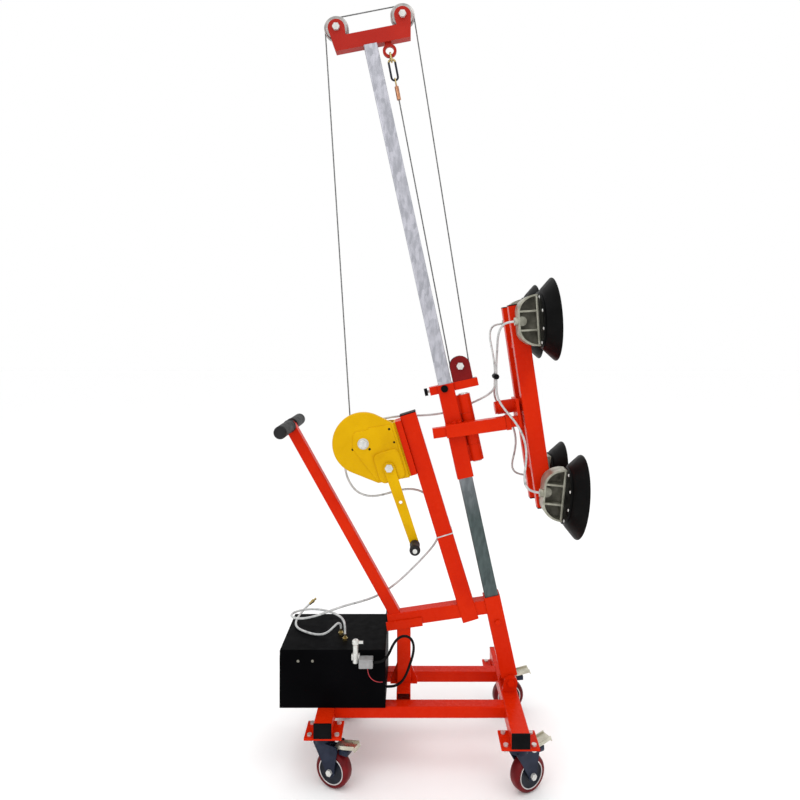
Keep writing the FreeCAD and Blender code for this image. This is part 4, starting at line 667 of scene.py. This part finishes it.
for level, (pinX, pinZ, tilt) in cup["pins"].items():
    for sign, side in ((-1, "Near"), (1, "Far")):
        node = level + "_" + side.lower()
        lean = Matrix.Rotation(math.radians(90 - tilt), 4, "Y")
        stand = Matrix.Translation((pinX * mm, sign * cup["out"] * mm, pinZ * mm)) @ lean
        facing = stand @ Matrix.Scale(mm, 4)
        keep(lathe(rubberShape, facing, cup["steps"]), "rubberCup" + level.capitalize() + side, blackRubber,
             "pad_" + node, ["pad_rubber_" + node], smooth=50)
        bm = bmesh.new()
        for angle in cup["screws"]:
            spin = Matrix.Rotation(math.radians(sign * (90 + angle)), 4, "Z")
            lathe(screwShape, facing @ spin @ Matrix.Translation((cup["screwRing"], 0, cup["flange"]))
                  @ Matrix.Rotation(math.pi, 4, "X"), cup["screwSteps"], bm)
        keep(bm, "flangeScrews" + level.capitalize() + side, zincPlate, "pad_" + node)
        bm = bmesh.new()
        brick(bm, (0, sign * cup["foot"][0], cup["foot"][1]), cup["footSize"], edge=cup["footRound"])
        bmesh.ops.transform(bm, matrix=stand, verts=bm.verts[:])
        keep(bm, "castFoot" + level.capitalize() + side, castAlloy, "pad_" + node)
        toPad = facing.inverted()

        def onFlange(at):
            spot = toPad @ at
            underSlab = cup["slab"][0] < sign * spot.y < cup["slab"][1]
            return spot.z > cup["flangeFrom"] and (not underSlab or math.hypot(spot.x, spot.y) > cup["slabTo"])

        def onWeb(at):
            spot = toPad @ at
            return spot.z < cup["flangeFrom"] and abs(sign * spot.y - cup["web"]) < cup["webHalf"]

        splitFinish("pad_dome_" + node, blackRubber, onFlange)
        splitFinish("pad_dome_" + node, castDark, onWeb)
print("cups turned")

# winch cover: pressed plate drawn out to its corners, with a raised housing over the pinion
column = {"foot": (149, 536), "lean": 17}
cover = {"radius": 112, "back": -45, "front": -67, "corners": ((-115.5, 1202.8), (-56.2, 1008.7), (-169, 988)),
         "edge": 5, "steps": 60, "housing": (96, 112, 22), "housingAt": (574, 115), "housingRise": 12,
         "housingEdge": 7, "housingRows": 4, "cornerSteps": 8, "plateRise": 3.5, "plateEdge": 2, "sunk": 1,
         "holeSunk": 0.5, "holeSteps": 20,
         "plate": ((-38, 25), (-29, 42), (16, 50), (20, 57), (98, 70), (121, 0), (152, -108), (62, -130),
                   (50, -133), (-38, -18)),
         "holes": ((-261, 1109, 4, 0), (-200, 1111, 4, 3.5), (-130, 1183, 4, 3.5), (-112, 1136, 3.5, 3.5))}


def touchAngle(centre, radius, point, side):
    dx, dz = point[0] - centre[0], point[1] - centre[1]
    return math.atan2(dz, dx) + side * math.acos(radius / math.hypot(dx, dz))


def prism(outline, y0, y1, edge, bm=None, rows=3):
    target = bm or bmesh.new()
    verts = [target.verts.new((x * mm, y0 * mm, z * mm)) for x, z in outline]
    face = target.faces.new(verts)
    grown = bmesh.ops.extrude_face_region(target, geom=[face])
    front = [g for g in grown["geom"] if isinstance(g, bmesh.types.BMVert)]
    bmesh.ops.translate(target, vec=(0, (y1 - y0) * mm, 0), verts=front)
    rim = [e for e in target.edges if e.verts[0] in front and e.verts[1] in front]
    bmesh.ops.recalc_face_normals(target, faces=target.faces[:])
    bmesh.ops.bevel(target, geom=rim, offset=edge * mm, offset_type="OFFSET", affect="EDGES", segments=rows,
                    profile=0.5, material=-1)
    return target


first = touchAngle(rope["drum"], cover["radius"], cover["corners"][0], 1)
last = touchAngle(rope["drum"], cover["radius"], cover["corners"][-1], -1)
while last < first:
    last += 2 * math.pi
angles = [first + (last - first) * k / cover["steps"] for k in range(cover["steps"] + 1)]
outline = [(drumX + cover["radius"] * math.cos(a), drumZ + cover["radius"] * math.sin(a)) for a in angles]
outline += list(reversed(cover["corners"]))
bm = prism(outline, cover["back"], cover["front"], cover["edge"])
c, s = math.cos(math.radians(column["lean"])), math.sin(math.radians(column["lean"]))
along, left = cover["housingAt"]
middle = (column["foot"][0] - left * c - along * s, column["foot"][1] - left * s + along * c)
halfX, halfZ, corner = cover["housing"][0] / 2, cover["housing"][1] / 2, cover["housing"][2]
outline = []
for signX, signZ, start in ((1, 1, 0), (-1, 1, 90), (-1, -1, 180), (1, -1, 270)):
    for k in range(cover["cornerSteps"] + 1):
        a = math.radians(start + 90 * k / cover["cornerSteps"])
        u = signX * (halfX - corner) + corner * math.cos(a)
        v = signZ * (halfZ - corner) + corner * math.sin(a)
        outline.append((middle[0] + u * c - v * s, middle[1] + u * s + v * c))
raisedFrom = cover["front"] + cover["sunk"]
prism(outline, raisedFrom, cover["front"] - cover["housingRise"], cover["housingEdge"], bm, cover["housingRows"])
prism([(drumX + x, drumZ + z) for x, z in cover["plate"]], raisedFrom, cover["front"] - cover["plateRise"],
      cover["plateEdge"], bm)
keep(bm, "gearCover", paintYellow, "upper_frame", ["winch_cover"], smooth=35)
# painted shade: thin black discs on the cover stand for the dark inside of its holes
bm = bmesh.new()
for x, z, r, lift in cover["holes"]:
    lathe([(0, 0), (r, 0), (r + 0.4, 0.3), (r + 0.4, 0.9), (0, 0.9)],
          acrossPlace((x, cover["front"] + cover["holeSunk"] - lift, z), 1), cover["holeSteps"], bm)
keep(bm, "coverHoleShade", blackMould, "upper_frame")
print("winch cover pressed")

# spare hose lying on the lid, with a fitting on its free end
spareRoute = [(-307, -30, 452.3), (-307, -30, 468), (-316, -38, 476), (-331, -48, 465), (-350, -52, 448),
              (-372, -50, 438), (-400, -42, 435), (-439, -20, 435), (-474, 12, 435), (-488, 55, 436),
              (-484, 95, 441), (-470, 118, 455), (-452, 124, 473), (-438, 122, 485)]
path = evenPath(routePath("spareRoute", spareRoute), hose["step"])
spare = sweep("spareHose", path, hose["radius"], hoseWhite, sides=hose["sides"])
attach(spare, "base")
spareFit = {"section": [(0, -8), (5.2, -8), (5.6, -7), (5.6, 4), (6.8, 4), (6.8, 12), (4.2, 12.6), (4.2, 24),
                        (0, 24)], "steps": 24}
bm = lathe(spareFit["section"], axisPlace(path[-1], path[-1] - path[-4]) @ Matrix.Scale(mm, 4), spareFit["steps"])
spareEnd = keep(bm, "spareHoseEnd", brassFit, "base")

# parts of CAD nodes that have a finish of their own, told apart by where their faces stand
seam = {"plugFront": -0.149, "plugSide": -0.2305, "nipples": -0.12, "ferrule": 2.445, "hookHalf": 0.0042,
        "hookLow": 2.4535, "hookHigh": 2.524, "pulley": 1.358, "foldBolt": 0.22, "roller": 0.012, "knob": -0.029,
        "lowBolt": 1.0, "crankNut": -0.0881}
splitFinish("box_fittings", greyPlastic, lambda at: at.y < seam["plugFront"] and at.x > seam["plugSide"])
splitFinish("box_fittings", brassFit, lambda at: at.y > seam["nipples"])
splitFinish("rope_fittings", copperFit, lambda at: at.z < seam["ferrule"])
splitFinish("rope_fittings", hubBlack,
            lambda at: abs(at.y) < seam["hookHalf"] and seam["hookLow"] < at.z < seam["hookHigh"])
splitFinish("carriage_sleeve", pulleyRed, lambda at: at.z > seam["pulley"])
splitFinish("base_bolts", paintRed, lambda at: at.z > seam["foldBolt"])
splitFinish("carriage_pins", blackMould, lambda at: at.x < seam["roller"] or at.y < seam["knob"])
splitFinish("frame_bolts", paintRed, lambda at: at.z < seam["lowBolt"])
splitFinish("crank_arm", zincPlate, lambda at: at.y < seam["crankNut"])

# small trim
bm = bmesh.new()
for nutY, nutHeight in drum["nuts"]:
    hexNut(bm, (drumX, nutY, drumZ), (0, 1, 0), drum["nut"], nutHeight)
lathe(drum["washer"], acrossPlace((drumX, 0, drumZ), 1), drum["washerSteps"], bm)
keep(bm, "drumNuts", zincPlate, "drum")

boxScrew = {"section": [(0, 0), (4.6, 0), (4.8, 0.6), (4, 1.8), (0, 2.4)], "x": (-442, -392), "y": -149.9,
            "z": 392, "steps": 20}
bm = bmesh.new()
for x in boxScrew["x"]:
    lathe(boxScrew["section"], acrossPlace((x, boxScrew["y"], boxScrew["z"]), 1), boxScrew["steps"], bm)
keep(bm, "boxScrews", castDark, "base")

# tie round the winch column and the hose behind it
tie = {"along": 265.6, "half": 30.6, "near": -30.6, "far": 46.0, "tall": 4.5, "thick": 1.1}
middle = (column["foot"][0] - tie["along"] * s, column["foot"][1] + tie["along"] * c)
middleY = (tie["near"] + tie["far"]) / 2
bm = bmesh.new()
for side in (-1, 1):
    brick(bm, (middle[0] + side * tie["half"] * c, middleY, middle[1] + side * tie["half"] * s),
          (tie["thick"], tie["far"] - tie["near"], tie["tall"]), column["lean"])
    brick(bm, (middle[0], middleY + side * (tie["far"] - tie["near"]) / 2, middle[1]),
          (2 * tie["half"], tie["thick"], tie["tall"]), column["lean"])
keep(bm, "cableTie", hoseWhite, "upper_frame")

# red lead hanging from the charging plug
leadLook = {"radius": 0.0014, "step": 0.003, "sides": 8}
leadRoute = [(-200, -168, 381), (-200, -170, 365), (-193, -173, 349), (-180, -172, 336), (-162, -166, 327),
             (-150, -158, 324)]
path = evenPath(routePath("leadRoute", leadRoute), leadLook["step"])
lead = sweep("redLead", path, leadLook["radius"], wireRed, sides=leadLook["sides"])
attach(lead, "base")
print("trim added")
